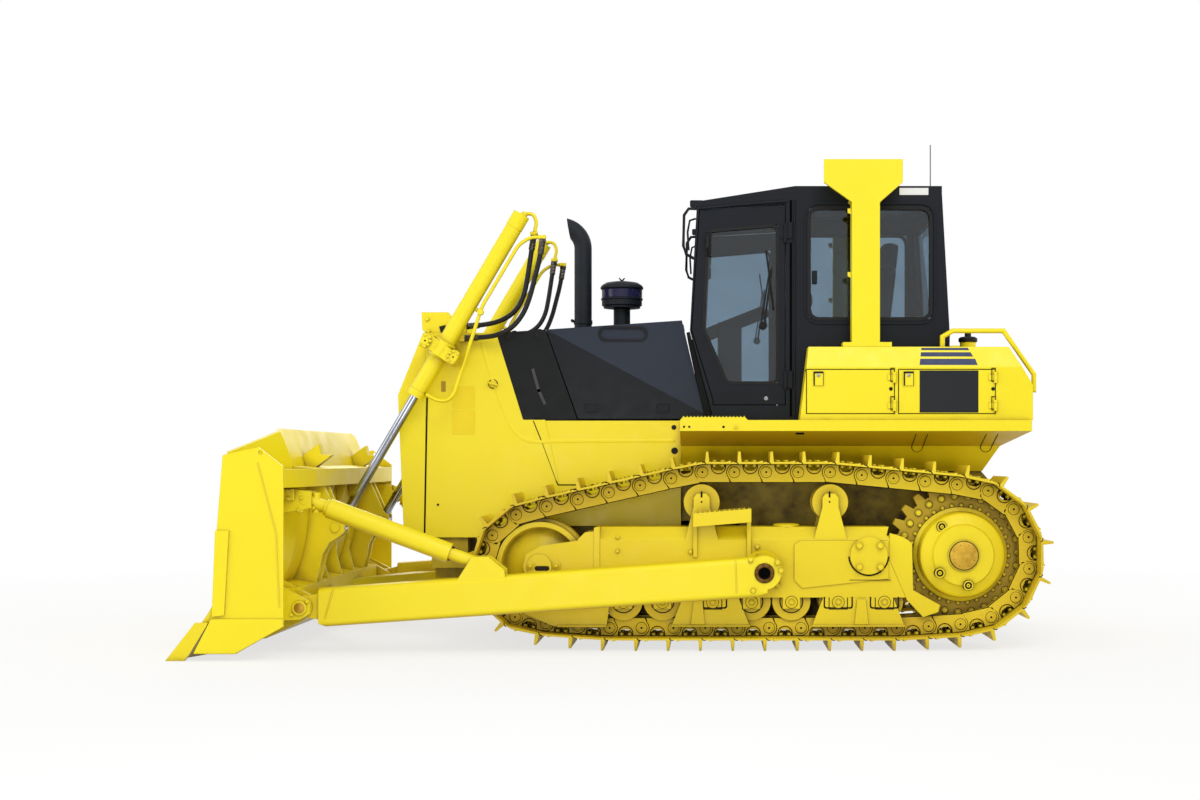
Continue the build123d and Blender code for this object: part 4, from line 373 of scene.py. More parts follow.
def cover_sockets(add):
    """A painted highlight on the half above the crease and on the corners, and painted shade in the
    gaps.
    """
    place, flat = add("TexCoord", out="Object"), add("NewGeometry", out="Normal")
    side = add("VectorMath", (place, above_crease), "Value", operation="DOT_PRODUCT")
    level = above_crease.dot(CREASE_FRONT)
    upper = add("MapRange", (side, level - FOLD_HALF * MM, level + FOLD_HALF * MM))
    drift, streak, grain = (
        add("TexNoise", {"Vector": place, "Scale": PATCH_MM / size, "Detail": detail})
        for size, detail in ((700, 3), (50, 4), (8, 2))
    )
    drift = add("MapRange", (drift, 0.4, 0.7))
    streak = add("MapRange", (streak, 0.35, 0.7))
    soft = add("Bevel", {"Radius": ROUND_MM * MM}, samples=4)
    turn = add("VectorMath", (soft, flat), "Value", operation="DOT_PRODUCT")
    corner = add("MapRange", (turn, 0.99, 0.8))
    light = add("AmbientOcclusion", {"Distance": 50 * MM}, "AO", samples=4)
    sheltered_shade = add("MapRange", (light, 0.8, 0.25))
    # a painted highlight on the corners and painted shade in the gaps
    highlit_corner, gap_shade = (
        add("Math", (share, streak), operation="MULTIPLY") for share in (corner, sheltered_shade)
    )
    # the lighter upper tones are the painted highlight of the half above the crease
    coat, high = (
        add("Mix", {0: drift, 6: tone, 7: deep}, 2, data_type="RGBA")
        for tone, deep in (("#13161B", "#101317"), ("#2A303D", "#252B37"))
    )
    for share, tone in ((upper, high), (highlit_corner, "#3A4150"), (gap_shade, "#121417")):
        coat = add("Mix", {0: share, 6: coat, 7: tone}, 2, data_type="RGBA")
    peel = {"Strength": 0.35, "Distance": 0.12 * MM, "Height": grain, "Normal": soft}
    return {
        "Base Color": coat,
        "Roughness": add("MapRange", (streak, 0, 1, 0.32, 0.44)),
        "Normal": add("Bump", peel),
    }


COVER_ENAMEL = new_finish(
    "charcoal_enamel_with_painted_highlight", {"IOR": 1.45, "Specular IOR Level": 0.2}, cover_sockets
)
print("made", COVER_ENAMEL.name)

# %% [markdown]
# ## Glass, chrome, bronze and iron
# Safety glass is tinted a bluish grey. The tint darkens with each pane that light goes through,
# so each pane carries about the square root of what is seen through both sides of the cab. A
# cylinder rod is hard chrome over ground steel: a metal, almost a mirror, with fine marks from
# its seals. Shaft ends are left as bare bronze, and the engine behind the covers is cast iron.

# %% Glass


def glass_sockets(add):
    """A tint with a faint film of dust in it."""
    place = add("TexCoord", out="Object")
    film = add("TexNoise", {"Vector": place, "Scale": PATCH_MM / 250, "Detail": 4})
    share = add("MapRange", (film, 0.45, 0.75))
    return {"Base Color": add("Mix", {0: share, 6: "#9DB0BD", 7: "#93A5B1"}, 2, data_type="RGBA")}


# laminated glass: IOR 1.52, quite clear, with a drift of dust in its tint
TINTED_GLASS = new_finish(
    "tinted_safety_glass", {"IOR": 1.52, "Transmission Weight": 1.0, "Roughness": 0.0},
    glass_sockets,
)
print("made", TINTED_GLASS.name)

# %% [markdown]
# ## One recipe for metals, plastics and rubber
# The other finishes differ in numbers and not in kind: two tones in a slow drift, a roughness
# that follows the relief, and the relief itself over softly rounded edges. The relief is noise
# on metal and iron, cells on moulded grain, and waves on pressed glass and woven cloth. Several
# patterns are multiplied.

# %% Metals, plastics, rubber, films and cloth


def two_tone(name, tones, drift, relief, strength, depth, rough, edge_mm, **values):
    """A finish from its recipe.

    drift holds the patches' size in millimetres, their detail and the noise levels between the
    two tones. relief holds patterns of (kind, socket values, output, settings). strength and
    depth in millimetres make its bump, and rough maps its height to the roughness.
    """

    def sockets(add):
        place = add("TexCoord", out="Object")
        size, detail, low, high = drift
        drifts = add("TexNoise", {"Vector": place, "Scale": PATCH_MM / size, "Detail": detail})
        share = add("MapRange", (drifts, low, high))
        height, *others = (
            add(kind, {"Vector": place, **numbers}, out, **settings)
            for kind, numbers, out, settings in relief
        )
        for other in others:
            height = add("Math", (height, other), operation="MULTIPLY")
        soft = add("Bevel", {"Radius": edge_mm * MM}, samples=4)
        bump = {"Strength": strength, "Distance": depth * MM, "Height": height, "Normal": soft}
        return {
            "Base Color": add("Mix", {0: share, 6: tones[0], 7: tones[1]}, 2, data_type="RGBA"),
            "Roughness": add("MapRange", (height, *rough)),
            "Normal": add("Bump", bump),
        }

    return new_finish(name, values, sockets)


def metal(name, colour, deep, rough, mark_mm, mark_high):
    """A bare metal: two tones, roughness, and marks from machining or rolling."""
    marks = [("TexNoise", {"Scale": PATCH_MM / mark_mm, "Detail": 5}, 0, {})]
    return two_tone(
        name, (colour, deep), (mark_mm, 5, 0.35, 0.7), marks, 0.4, mark_high,
        (0.35, 0.7, rough, rough + 0.12), 2, Metallic=1.0,
    )


def grained(name, colour, deep, rough, grain_mm, grain_high, shine=0.3):
    """A moulded, cast or printed dielectric: two tones, roughness, and a cellular grain."""
    cells = [("TexVoronoi", {"Scale": 1000 / grain_mm}, "Distance", {})]
    return two_tone(
        name, (colour, deep), (150, 3, 0.4, 0.7), cells, 0.5, grain_high,
        (0, 1, rough, rough + 0.1), 3, **{"IOR": 1.5, "Specular IOR Level": shine},
    )


# almost a mirror, with long soft marks from its seals
CHROME = metal("hard_chrome_rod", "#9FA2A8", "#84878E", 0.08, 120, 0.05)
# warm and satin, with the lathe's marks
BRONZE = metal("turned_bronze", "#CFA840", "#B58E31", 0.42, 20, 0.1)
# bright grey hardware with a soft crystalline bloom
STEEL = metal("zinc_plated_steel", "#A9ABAD", "#85888B", 0.3, 12, 0.1)
# hose fittings: oiled, nearly black, but still a metal
DARK_STEEL = metal("phosphated_steel", "#5B5650", "#3F3B36", 0.35, 12, 0.1)
# brown and rough: thin rust over a surface that still shines a little
RUSTY_STEEL = metal("rusty_bare_steel", "#7A5A2C", "#54391A", 0.5, 16, 0.3)
# the mirror behind a lamp's glass
LAMP_BOWL = metal("aluminised_lamp_bowl", "#E6E7E7", "#D5D7D7", 0.15, 60, 0.2)

# sand-cast iron under thin grey primer, so it is a dull dielectric to the eye
CAST_IRON = two_tone(
    "primed_cast_iron", ("#3A3A39", "#2C2A28"), (200, 2, 0.4, 0.6),
    [("TexNoise", {"Scale": PATCH_MM / 6, "Detail": 3}, 0, {})], 0.6, 0.8, (0.3, 0.7, 0.55, 0.75),
    3, IOR=1.5,
)

# cab trim: a fine leather-like grain that breaks up its dull shine
ABS = grained("moulded_abs_trim", "#1C1F23", "#17191C", 0.5, 3, 0.2)
HANDLE_BLACK = grained("handle_nylon", "#07080A", "#0B0C0E", 0.5, 4, 0.15)
# seals and plugs: matt and bluish black, the darkest thing on the body
SEAL = grained("epdm_rubber_seal", "#0B0C0D", "#101112", 0.6, 2, 0.1)
# painted shadow: brown black, with no shine at all
SHADOW_PAINT = grained("painted_brown_shadow", "#1B1306", "#2A1D0A", 0.85, 6, 0.3)
# places that no light reaches, and the shadow that a thin gap holds
HOLE = grained("unlit_hole", "#030303", "#050505", 0.9, 10, 0.05, shine=0.05)
GAP = grained("shadow_in_a_panel_gap", "#231B0C", "#2E230E", 0.8, 5, 0.1)
# cast vinyl film: smooth, flat and evenly coloured
AMBER_FILM = grained("amber_vinyl_film", "#F2D91C", "#EBCF18", 0.4, 40, 0.02)
OCHRE_FILM = grained("ochre_vinyl_film", "#B1932C", "#A08324", 0.45, 40, 0.02)
NAVY_FILM = grained("navy_vinyl_film", "#1D2D57", "#18264A", 0.35, 40, 0.02)
BLACK_FILM = grained("black_vinyl_film", "#14181D", "#111519", 0.35, 40, 0.02)
# a glossy moulded bowl, a plate with a printer's gloss, and a pale matt rod
SMOKED_BOWL = grained("smoked_violet_bowl", "#25234A", "#1D1B3C", 0.2, 60, 0.02)
WHITE_PLATE = grained("white_printed_plate", "#E9EAEA", "#DADCDC", 0.35, 30, 0.02)
ANTENNA = grained("antenna_glass_fibre", "#77787A", "#5E6062", 0.4, 4, 0.05)

# pressed lamp glass, clear, with flutes 12 mm apart that spread the beam
LAMP_GLASS = two_tone(
    "fluted_lamp_glass", ("#F1F3F2", "#E3E6E6"), (80, 2, 0, 1),
    [("TexWave", {"Scale": 1000 / 12 / 2 / math.pi}, "Fac", {"bands_direction": "Y"})],
    0.6, 1.0, (0, 1, 0.08, 0.08), 2, **{"IOR": 1.5, "Transmission Weight": 0.85},
)
# woven polyester: dark, matt, with a little sheen from its loose fibres. Real threads are
# 0.5 mm apart, and they are drawn 3 mm apart so that they show
SEAT_CLOTH = two_tone(
    "woven_polyester", ("#2B2D31", "#37393E"), (120, 3, 0.35, 0.7),
    [("TexWave", {"Scale": 1000 / 3 / 2 / math.pi}, "Fac", {"bands_direction": way})
     for way in "YZ"],
    0.6, 0.8, (0, 1, 0.75, 0.95), 4, **{"IOR": 1.5, "Sheen Weight": 0.3, "Sheen Roughness": 0.4},
)
print(len(bpy.data.materials), "finishes")

# %% [markdown]
# ## Finishes on the solid pieces
# Every solid keeps its shape and gets its finish through its own material slots. One table says
# which finish goes on which piece, grouped as a paint shop would mask them.

# %% The paint shop's table
FINISHES = {
    PLATE_ENAMEL: "radiator_guard side_panels platform hydraulic_tank fuel_tank locker_box "
    "locker_door_rear locker_door_front rollover_bar handrails headlamps front_mask push_arms "
    "blade_mould blade_frame tilt_struts lift_barrel_left lift_barrel_right lift_yokes",
    CASTING_ENAMEL: "track_frames track_guards final_drives idlers",
    SHELTERED_ENAMEL: "rear_case main_frame",
    CHAIN_ENAMEL: "track_left track_right rollers",
    SPROCKET_ENAMEL: "sprockets",
    EDGE_ENAMEL: "cutting_edge",
    COVER_ENAMEL: "engine_cover_left engine_cover_right",
    COWL_ENAMEL: "hood_cowl",
    HEAT_ENAMEL: "exhaust air_cleaner",
    CAB_ENAMEL: "cab_shell cab_roof door_left door_right",
    TINTED_GLASS: "cab_glass door_glass_left door_glass_right",
    LAMP_GLASS: "lamp_lenses",
    CHROME: "lift_rod_left lift_rod_right",
    CAST_IRON: "engine_and_radiator",
    ABS: "console seat",
    RUBBER: "lift_hoses",
    ANTENNA: "antenna",
}
for finish, nodes in FINISHES.items():
    for node in nodes.split():
        for material_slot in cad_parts[node].material_slots:
            material_slot.link = "OBJECT"
            material_slot.material = finish
missing = set(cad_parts) - set(" ".join(FINISHES.values()).split())
print("pieces with no finish:", missing or "none")

# %% [markdown]
# ## Tools for small parts
# Bolts, caps and bosses are turned shapes, brackets and films are cut from plate, and rails are
# bent bar. A few functions draw them into a mesh in millimetres, and a ray finds the solid's
# face under each of them, so that every part sits on the face and leans as it does. A part is
# then one call: its name, its finish and its strokes, each a tool with what the tool needs.

# %% Find a face
TO_LEFT_SIDE = (0, -1, 0)  # the ways that a ray can look at the machine
TO_RIGHT_SIDE = (0, 1, 0)
TO_TOP = (0, 0, -1)
TO_FRONT = (-1, 0, 0)
LEFT, UP, FORWARD = (0, 1, 0), (0, 0, 1), (1, 0, 0)


def stand(place, out=LEFT, up=UP):
    """A matrix for a part that is drawn facing +Z with its top along +Y."""
    out = Vector(out).normalized()
    up = Vector(up)
    if abs(up.normalized().dot(out)) > 0.95:
        up = Vector(FORWARD)
    up = (up - out * up.dot(out)).normalized()
    turn = Matrix((up.cross(out), up, out)).transposed().to_4x4()
    turn.translation = place
    return turn


def moved(spot, x, y, z=0):
    """A stand moved by millimetres in its own directions."""
    return spot @ Matrix.Translation((x * MM, y * MM, z * MM))


def on(node, x, y, z, way=TO_LEFT_SIDE, lift=0.0):
    """Where a ray through (x, y, z) first meets a node, as a stand on that face."""
    way = Vector(way)
    start = at(x, y, z) - way * 6
    hit, place, normal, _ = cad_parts[node].ray_cast(start, way)
    return stand(place + normal * lift * MM, normal) if hit else None


def nearest(nodes, x, z):
    """The outermost of several nodes' faces at a place in the side view."""
    spots_on = [on(node, x, 0, z) for node in nodes.split()]
    return max((s for s in spots_on if s), key=lambda s: s.translation.y)


def upright(x, z, face):
    """An upright stand at (x, z), as far out as the face."""
    return stand(at(x, 0, z) + Vector((0, face.translation.y, 0)))


# %% Outlines


def arc(x, y, radius, start, end, steps=8):
    """Points on an arc, its angles in degrees."""
    angles = [math.radians(start + (end - start) * i / steps) for i in range(steps + 1)]
    return [(x + radius * math.cos(a), y + radius * math.sin(a)) for a in angles]


def inset(outline, by):
    """A closed outline moved in by a distance, its corners kept sharp."""
    moved_in = []
    area = sum(a[0] * b[1] - b[0] * a[1] for a, b in zip(outline, outline[1:] + outline[:1]))
    by = by if area > 0 else -by
    for before, here, after in zip(outline[-1:] + outline[:-1], outline, outline[1:] + outline[:1]):
        one = Vector((here[0] - before[0], here[1] - before[1])).normalized()
        two = Vector((after[0] - here[0], after[1] - here[1])).normalized()
        middle = Vector((-one.y - two.y, one.x + two.x))
        middle = middle.normalized() * by / max(0.3, math.sqrt((1 + one.dot(two)) / 2))
        moved_in.append((here[0] + middle.x, here[1] + middle.y))
    return moved_in


def rectangle(width, height, radius=0.0, steps=4):
    """A rectangle round the middle, with round corners, as an outline."""
    if not radius:
        radius, steps = 0.5, 1
    points = []
    for i, (sx, sy) in enumerate(((1, 1), (-1, 1), (-1, -1), (1, -1))):
        cx, cy = sx * (width / 2 - radius), sy * (height / 2 - radius)
        points += arc(cx, cy, radius, 90 * i, 90 * i + 90, steps)
    return points


def rounded(corners_of, radius, steps=5):
    """An outline with each corner turned by an arc of about that radius."""
    points = []
    ends = zip(corners_of[-1:] + corners_of[:-1], corners_of, corners_of[1:] + corners_of[:1])
    for before, here, after in ends:
        here = Vector(here)
        one = (Vector(before) - here).normalized()
        two = (Vector(after) - here).normalized()
        back = radius / math.tan(one.angle(two) / 2)
        start, end = here + one * back, here + two * back
        for i in range(steps + 1):
            t = i / steps
            points.append(tuple((1 - t) ** 2 * start + 2 * t * (1 - t) * here + t**2 * end))
    return points


# %% Turn, cut and bend


def bridge(bm, below, above):
    """Faces between two rings of as many vertices."""
    for i, low in enumerate(below):
        j = (i + 1) % len(below)
        bm.faces.new((low, below[j], above[j], above[i]))


def turned(bm, spot, profile, sides=24):
    """A closed turned shape from its profile of (radius, height) pairs in millimetres."""
    rings = []
    for radius, height in [(0, profile[0][1]), *profile, (0, profile[-1][1])]:
        circle = arc(0, 0, radius, 0, 360, sides)[:-1] if radius else [(0, 0)]
        rings.append([bm.verts.new(moved(spot, x, y, height).translation) for x, y in circle])
    for low, high in zip(rings, rings[1:]):
        for i in range(sides):
            j = (i + 1) % sides
            loop = [low[i % len(low)], low[j % len(low)], high[j % len(high)], high[i % len(high)]]
            loop = list(dict.fromkeys(loop))
            if len(loop) > 2:
                bm.faces.new(loop)


def layered(bm, spot, layers):
    """Rings of vertices from (outline, height) layers."""
    return [
        [bm.verts.new(moved(spot, x, y, height).translation) for x, y in points]
        for points, height in layers
    ]


def plate(bm, spot, outline, low, high, rim=1.0):
    """A cut plate between two heights, its outer rim chamfered."""
    rings = layered(bm, spot, [(outline, low), (outline, high - rim), (inset(outline, rim), high)])
    bm.faces.new(rings[0][::-1])
    bm.faces.new(rings[-1])
    for below, above in zip(rings, rings[1:]):
        bridge(bm, below, above)


def ring_plate(bm, spot, outer, inner, low, high):
    """A flat frame between two outlines that have as many points."""
    rings = layered(bm, spot, [(outer, low), (outer, high), (inner, high), (inner, low)])
    for below, above in zip(rings, rings[1:] + rings[:1]):
        bridge(bm, below, above)


def bar(bm, places, radius, sides=10):
    """A round bar or a weld bead along places, with its corners mitred."""
    rings = []
    up = Vector((0.13, 0.31, 0.94))  # no bar on the machine runs this way
    for before, here, after in zip(places[:1] + places[:-1], places, places[1:] + places[-1:]):
        way = ((here - before).normalized() + (after - here).normalized()).normalized()
        side = way.cross(up).normalized()
        top = side.cross(way)
        circle = arc(0, 0, radius * MM, 0, 360, sides)[:-1]
        rings.append([bm.verts.new(here + side * x + top * y) for x, y in circle])
    for low, high in zip(rings, rings[1:]):
        bridge(bm, low, high)
    bm.faces.new(rings[0][::-1])
    bm.faces.new(rings[-1])


def sheet(bm, places, out, thick):
    """A thin sheet on a face, open at its back, with its corners at places."""
    low = [bm.verts.new(place) for place in places]
    high = [bm.verts.new(v.co + out * thick * MM) for v in low]
    bm.faces.new(high)
    bridge(bm, low, high)


def strip(bm, places, width, thick=0.8, out=LEFT):
    """A thin ribbon on a face along places, such as a seam or a taped edge."""
    out = Vector(out).normalized()
    for start, end in zip(places, places[1:]):
        way = (end - start).normalized()
        side = way.cross(out).normalized() * width / 2 * MM
        start, end = start - way * width / 2 * MM, end + way * width / 2 * MM
        sheet(bm, [start - side, end - side, end + side, start + side], out, thick)


def drawn_strip(bm, spot, outline, width, lift=0.3, thick=0.8, out=LEFT):
    """A ribbon whose outline is drawn on a stand."""
    strip(bm, [moved(spot, x, y, lift).translation for x, y in outline], width, thick, out)


def bolt(bm, spot, across=24, washer=1.25):
    """A hex head with a chamfered crown, on its washer. across is over its flats."""
    reach = across / math.sqrt(3)
    thick = across * 0.12
    if washer:
        turned(bm, spot, [(reach * washer, -2), (reach * washer, thick), (reach, thick + 0.4)], 20)
    crown = thick + across * 0.55
    turned(bm, spot, [(reach, thick), (reach, crown), (reach * 0.86, crown + across * 0.08)], 6)


def piece(name, bm, material, body="machine", side="both"):
    """Turn a mesh into a named piece with its finish, riding on its body.

    A right piece is the mirror image of what is drawn, in the machine's middle plane. A piece on
    both sides is the drawn half and its image. On any other side it stays as drawn.
    """
    verts = bm.verts[:]
    if side == "both":
        copy = bmesh.ops.duplicate(bm, geom=bm.verts[:] + bm.edges[:] + bm.faces[:])["geom"]
        verts = [part for part in copy if isinstance(part, bmesh.types.BMVert)]
    if side in ("both", "right"):
        bmesh.ops.scale(bm, vec=(1, -1, 1), verts=verts)
    bmesh.ops.recalc_face_normals(bm, faces=bm.faces)
    mesh = bpy.data.meshes.new(name)
    bm.to_mesh(mesh)
    bm.free()
    mesh.shade_smooth()
    mesh.set_sharp_from_angle(angle=math.radians(38))
    made = bpy.data.objects.new(name, mesh)
    link(made, material, body)
    print(name, len(mesh.polygons), "faces")
    return made


def part(name, material, strokes, body="machine", side="both"):
    """A piece from its strokes, each a tool and what it needs."""
    bm = bmesh.new()
    for tool, *needs in strokes:
        tool(bm, *needs)
    return piece(name, bm, material, body, side)


print("small-part tools ready")

# %% [markdown]
# ## Chain links
# A track chain is made of forged links. Each has a round eye over the pin behind it, laps over
# the next link's eye, and has a half-round window through which two nuts hold its shoe. The
# solid chain has the windows and the rails. Here each link gets its own side plate, 5 mm proud,
# with a gap to the next one that shows as a dark curved seam, and a pin end with its centre hole.

# %% Where the pins are
# x, z and radius of the wheels that the chain's pins run round, in order
CHAIN_WHEELS = [
    (0, 595, 440.6), (387, 300.3, 170.3), (2249, 300.3, 170.3),
    (2675, 523, 360), (1648, 928, 191), (833, 928, 191),
]
LINKS = 39
FIRST_PIN = 0.163  # share of a link past the start of the first straight run
LINK_RISE = 52  # from a pin out to the shoe
LINK_DEPTH = 65  # from a pin in to the rail's edge
RAIL_FACES = (1048, 832)  # the outer side of the outer rail, the inner side of the inner one


def pin_places():
    """The pins' (x, z), at even steps round a belt over the wheels."""
    runs, touch = [], []
    for (x1, z1, r1), (x2, z2, r2) in zip(CHAIN_WHEELS, CHAIN_WHEELS[1:] + CHAIN_WHEELS[:1]):
        span = math.hypot(x2 - x1, z2 - z1)
        out = math.atan2(z2 - z1, x2 - x1) - math.acos((r1 - r2) / span)
        ends = [Vector((x + r * math.cos(out), z + r * math.sin(out)))
                for x, z, r in ((x1, z1, r1), (x2, z2, r2))]
        touch.append((out, *ends))
    for i, (out, start, end) in enumerate(touch):
        x, z, r = CHAIN_WHEELS[(i + 1) % len(CHAIN_WHEELS)]
        turn = (touch[(i + 1) % len(touch)][0] - out) % (2 * math.pi)
        runs.append(((end - start).length, lambda s, a=start, b=end: a.lerp(b, s)))
        runs.append((turn * r, lambda s, x=x, z=z, r=r, a=out, t=turn: Vector(
            (x + r * math.cos(a + t * s), z + r * math.sin(a + t * s)))))
    belt = sum(span for span, _ in runs)
    places = []
    for i in range(LINKS):
        along = (i + FIRST_PIN) * belt / LINKS % belt
        for span, walk in runs:
            if along <= span:
                break
            along -= span
        places.append(walk(along / span))
    return places


PINS = pin_places()
PITCH = (PINS[1] - PINS[0]).length
print("pitch", round(PITCH, 1), "mm")

# %% A link's side plate
EYE_R = 47
WINDOW_R = 49
SEAM = 4

TRACK_Y = 940
SHOE_HALF = 255

# drawn from pin to pin along x, with the shoe towards +y
middle = PITCH / 2
LINK_PLATE = [
    *arc(0, 0, EYE_R, 100, 222),
    (-20, -LINK_DEPTH + 2),
    (PITCH - 30, -LINK_DEPTH + 2),
    *arc(PITCH, 0, EYE_R + SEAM, 222, 105),
    (middle + WINDOW_R, LINK_RISE - 3),
    *arc(middle, 36, WINDOW_R, -8, -172, 10),
    (middle - WINDOW_R, LINK_RISE - 3),
]
PIN_END = [(34, -3), (34, 7), (31, 9), (24, 9), (22, 7), (7, 7), (5, 2)]


def along_link(i, face, side):
    """A stand at pin i on a rail's face: +X to the next pin, +Y out to the shoe."""
    a, b = PINS[i], PINS[(i + 1) % LINKS]
    way = (b - a).normalized()
    out = Vector((way.y, -way.x))
    turn = Matrix((
        (way.x, out.x, 0, 0), (0, 0, side, 0), (way.y, out.y, 0, 0), (0, 0, 0, 1)
    ))
    turn.translation = at(a.x, face, a.y)
    return turn


link_faces = [
    along_link(i, face, side) for i in range(LINKS) for face, side in zip(RAIL_FACES, (1, -1))
]
bm = bmesh.new()
for spot in link_faces:
    plate(bm, spot, LINK_PLATE, -1, 5, 1.5)
    turned(bm, spot, PIN_END, 20)
piece("chain_link_plates", bm, CHAIN_ENAMEL)

# %% Nuts in the windows and bolt heads on the shoes
RAILS = (855, 1025)
NUT_APART = 27  # from the middle of the window
INWARD, OUTWARD = (Matrix.Rotation(math.radians(a), 4, "X") for a in (90, -90))
bm = bmesh.new()
for i in range(LINKS):
    for rail in RAILS:
        for along in (middle - NUT_APART, middle + NUT_APART):
            inside = moved(along_link(i, rail, 1), along, LINK_RISE)
            bolt(bm, inside @ INWARD, 26, 0)
            turned(bm, moved(inside, 0, 13) @ OUTWARD, [(15, -2), (15, 9), (11, 12)], 6)
piece("shoe_bolts", bm, PLATE_ENAMEL)

# %% [markdown]
# ## Sprocket, hub and idler
# The sprocket's rim is bolted on in segments, and a ring of studs holds the final drive's case.
# The hub has three drain plugs set in round pockets and a bare bronze end disc in a dark ring.
# The idler carries two bolts each side of a slot in its bearing's cover.

# %% Bolts round the sprocket
SPROCKET_Z = 595
# the second mesh is painted shadow: a dark collar round each stud and a dark ring in each plug's
# pocket
bm, shadow_mesh = bmesh.new(), bmesh.new()
# count, radius and head size of each ring, first angle in degrees
STUD_RINGS = [(27, 372, 30, 5), (32, 312, 19, 2)]
for count, radius, across, first in STUD_RINGS:
    for x, z in arc(0, SPROCKET_Z, radius, first, first + 360, count)[:-1]:
        spot = on("sprockets", x, 0, z)
        bolt(bm, spot, across)
        collar = [(across * 0.84, -2), (across * 0.84, 1.2), (across * 0.8, 1.6)]
        turned(shadow_mesh, spot, collar, 18)
piece("sprocket_bolts", bm, CASTING_ENAMEL)

# %% The hub's plugs, ring and disc
bm = bmesh.new()
# x, z and how far each drain plug's boss stands off the hub
for x, z, lift in ((133, 180, 10), (152, -109, 22), (-27, -187, 22)):
    spot = stand(on("final_drives", x, 0, SPROCKET_Z + z).translation)
    boss = [(31, -30), (31, lift), (29, lift + 1.5), (24, lift + 1.5), (21, lift - 4)]
    turned(bm, spot, boss, 28)
    turned(bm, spot, [(13, 0), (13, lift - 1), (10, lift + 1), (5, lift + 1), (4, lift - 3)], 6)
    turned(shadow_mesh, spot, [(33.5, -30), (33.5, lift - 1.5), (33, lift - 1)], 28)
    turned(shadow_mesh, spot, [(22, 0), (22, lift - 2)], 24)
piece("hub_plugs", bm, CASTING_ENAMEL)
piece("sprocket_shadow_rings", shadow_mesh, SHADOW_PAINT)

hub_end = on("final_drives", 0, 0, SPROCKET_Z)
part("hub_end_discs", BRONZE, [(turned, hub_end, [(88, -2), (88, 3.5), (85, 5)], 48)])
part("hub_seal_rings", SEAL, [
    (turned, hub_end, [(93, -3), (93, 2), (91, 3)], 48),
    *((turned, moved(hub_end, x, y, 4), [(3, -1), (3, 1.4)], 10)
      for x, y in arc(0, 0, 70, 20, 380, 8)[:-1]),
])

# %% The idler's bearing cover
IDLER_FACES = "idlers track_frames"
bm = bmesh.new()
for x in (2566, 2730):
    spot = nearest(IDLER_FACES, x, 529)
    turned(bm, spot, [(27, -3), (27, 6), (24, 8)], 24)
    bolt(bm, moved(spot, 0, 0, 8), 24)
piece("idler_bolts", bm, CASTING_ENAMEL)
idler_slot = nearest(IDLER_FACES, 2657, 511)
part("idler_slots", GAP, [(plate, idler_slot, rectangle(92, 30, 14), -1, 1.5, 0.5)])

# %% [markdown]
# ## Bolts and bosses of the undercarriage and arms
# Guards, covers, caps and rollers are all bolted. One table lists each bolt by the solid that it
# holds, its place in the side view and its size over the flats, and the ray finds the face.

# %% Bolts by table
SIDE_BOLTS = [
    # solid, x, z, across the flats
    ("push_arms", 1345, 576, 26), ("push_arms", 1330, 393, 26),
    ("push_arms", 1181, 567, 28), ("push_arms", 1160, 517, 28),
    ("track_frames", 1160, 465, 28), ("track_frames", 1169, 405, 28),
    ("track_frames", 1719, 615, 22), ("track_frames", 1296, 648, 24),
    ("track_frames", 1292, 597, 24), ("track_frames", 653, 656, 34),
    ("track_frames", 521, 656, 34), ("track_frames", 653, 522, 34),
    ("track_frames", 521, 522, 34), ("track_frames", 2180, 620, 20),
    ("track_frames", 2180, 700, 20),
]
by_body = {"machine": bmesh.new(), "blade": bmesh.new()}
for node, x, z, across in SIDE_BOLTS:
    bolt(by_body["blade" if node == "push_arms" else "machine"], on(node, x, 0, z), across)
for body, bm in by_body.items():
    piece(f"{body}_side_bolts", bm, CASTING_ENAMEL, body)

# %% [markdown]
# ## Seams, plugs and latches of the body
# Sheet panels meet in narrow gaps, access holes are closed with black rubber plugs, and covers
# are held by latches. A gap is too thin to model as a cut, so it is a dark ribbon on the face.

# %% Rubber plugs
PLUGS = [
    # solid, x, z, radius
    ("side_panels", 1830, 1257, 22), ("side_panels", 1834, 1412, 16),
    ("platform", 1761, 1408, 7), ("platform", 1728, 1408, 7),
    ("locker_box", 436, 1652, 12), ("locker_box", -219, 1652, 12),
    ("locker_door_front", 436, 1652, 12), ("locker_door_rear", -219, 1652, 12),
]
plug_profile = ((1.0, -2), (1.0, 2), (0.8, 4), (0.35, 4), (0.25, 2.5))
part("rubber_plugs", SEAL, [
    (turned, on(node, x, 0, z), [(radius * r, h) for r, h in plug_profile])
    for node, x, z, radius in PLUGS
], side="left")

# %% Guard: lifting slot, square slots and T handle
latch = on("radiator_guard", 3031, 0, 1699)
part("guard_slots", GAP, [
    (turned, latch, [(32, -1), (32, 1.2)], 28),
    *((plate, on("radiator_guard", 3395, 0, z), rectangle(16, 16, 7), -1, 1.2, 0.4)
      for z in (1590, 900)),
])
grip = [moved(latch, x, y, 26).translation for x, y in ((-34, 12), (-12, 2), (12, -2), (34, -12))]
part("guard_t_latches", PLATE_ENAMEL, [
    (turned, latch, [(26, -2), (26, 4), (22, 7), (13, 7), (12, 26), (9, 28)], 24),
    (bar, grip, 7),
])

# %% [markdown]
# ## Cover latches and knobs
# Flush paddle latches hold the foot of each engine cover, and two rubber-capped knobs sit on the
# cowl. A paddle is a pressed cup with a plate that pulls out, so it is drawn as a frame, a dark
# sheet in the cup that is its painted shade, and a tilted plate.

# %% Paddle latches
COVER_LATCHES = (2380, 1906)
COVER_LATCH_Z = 1538
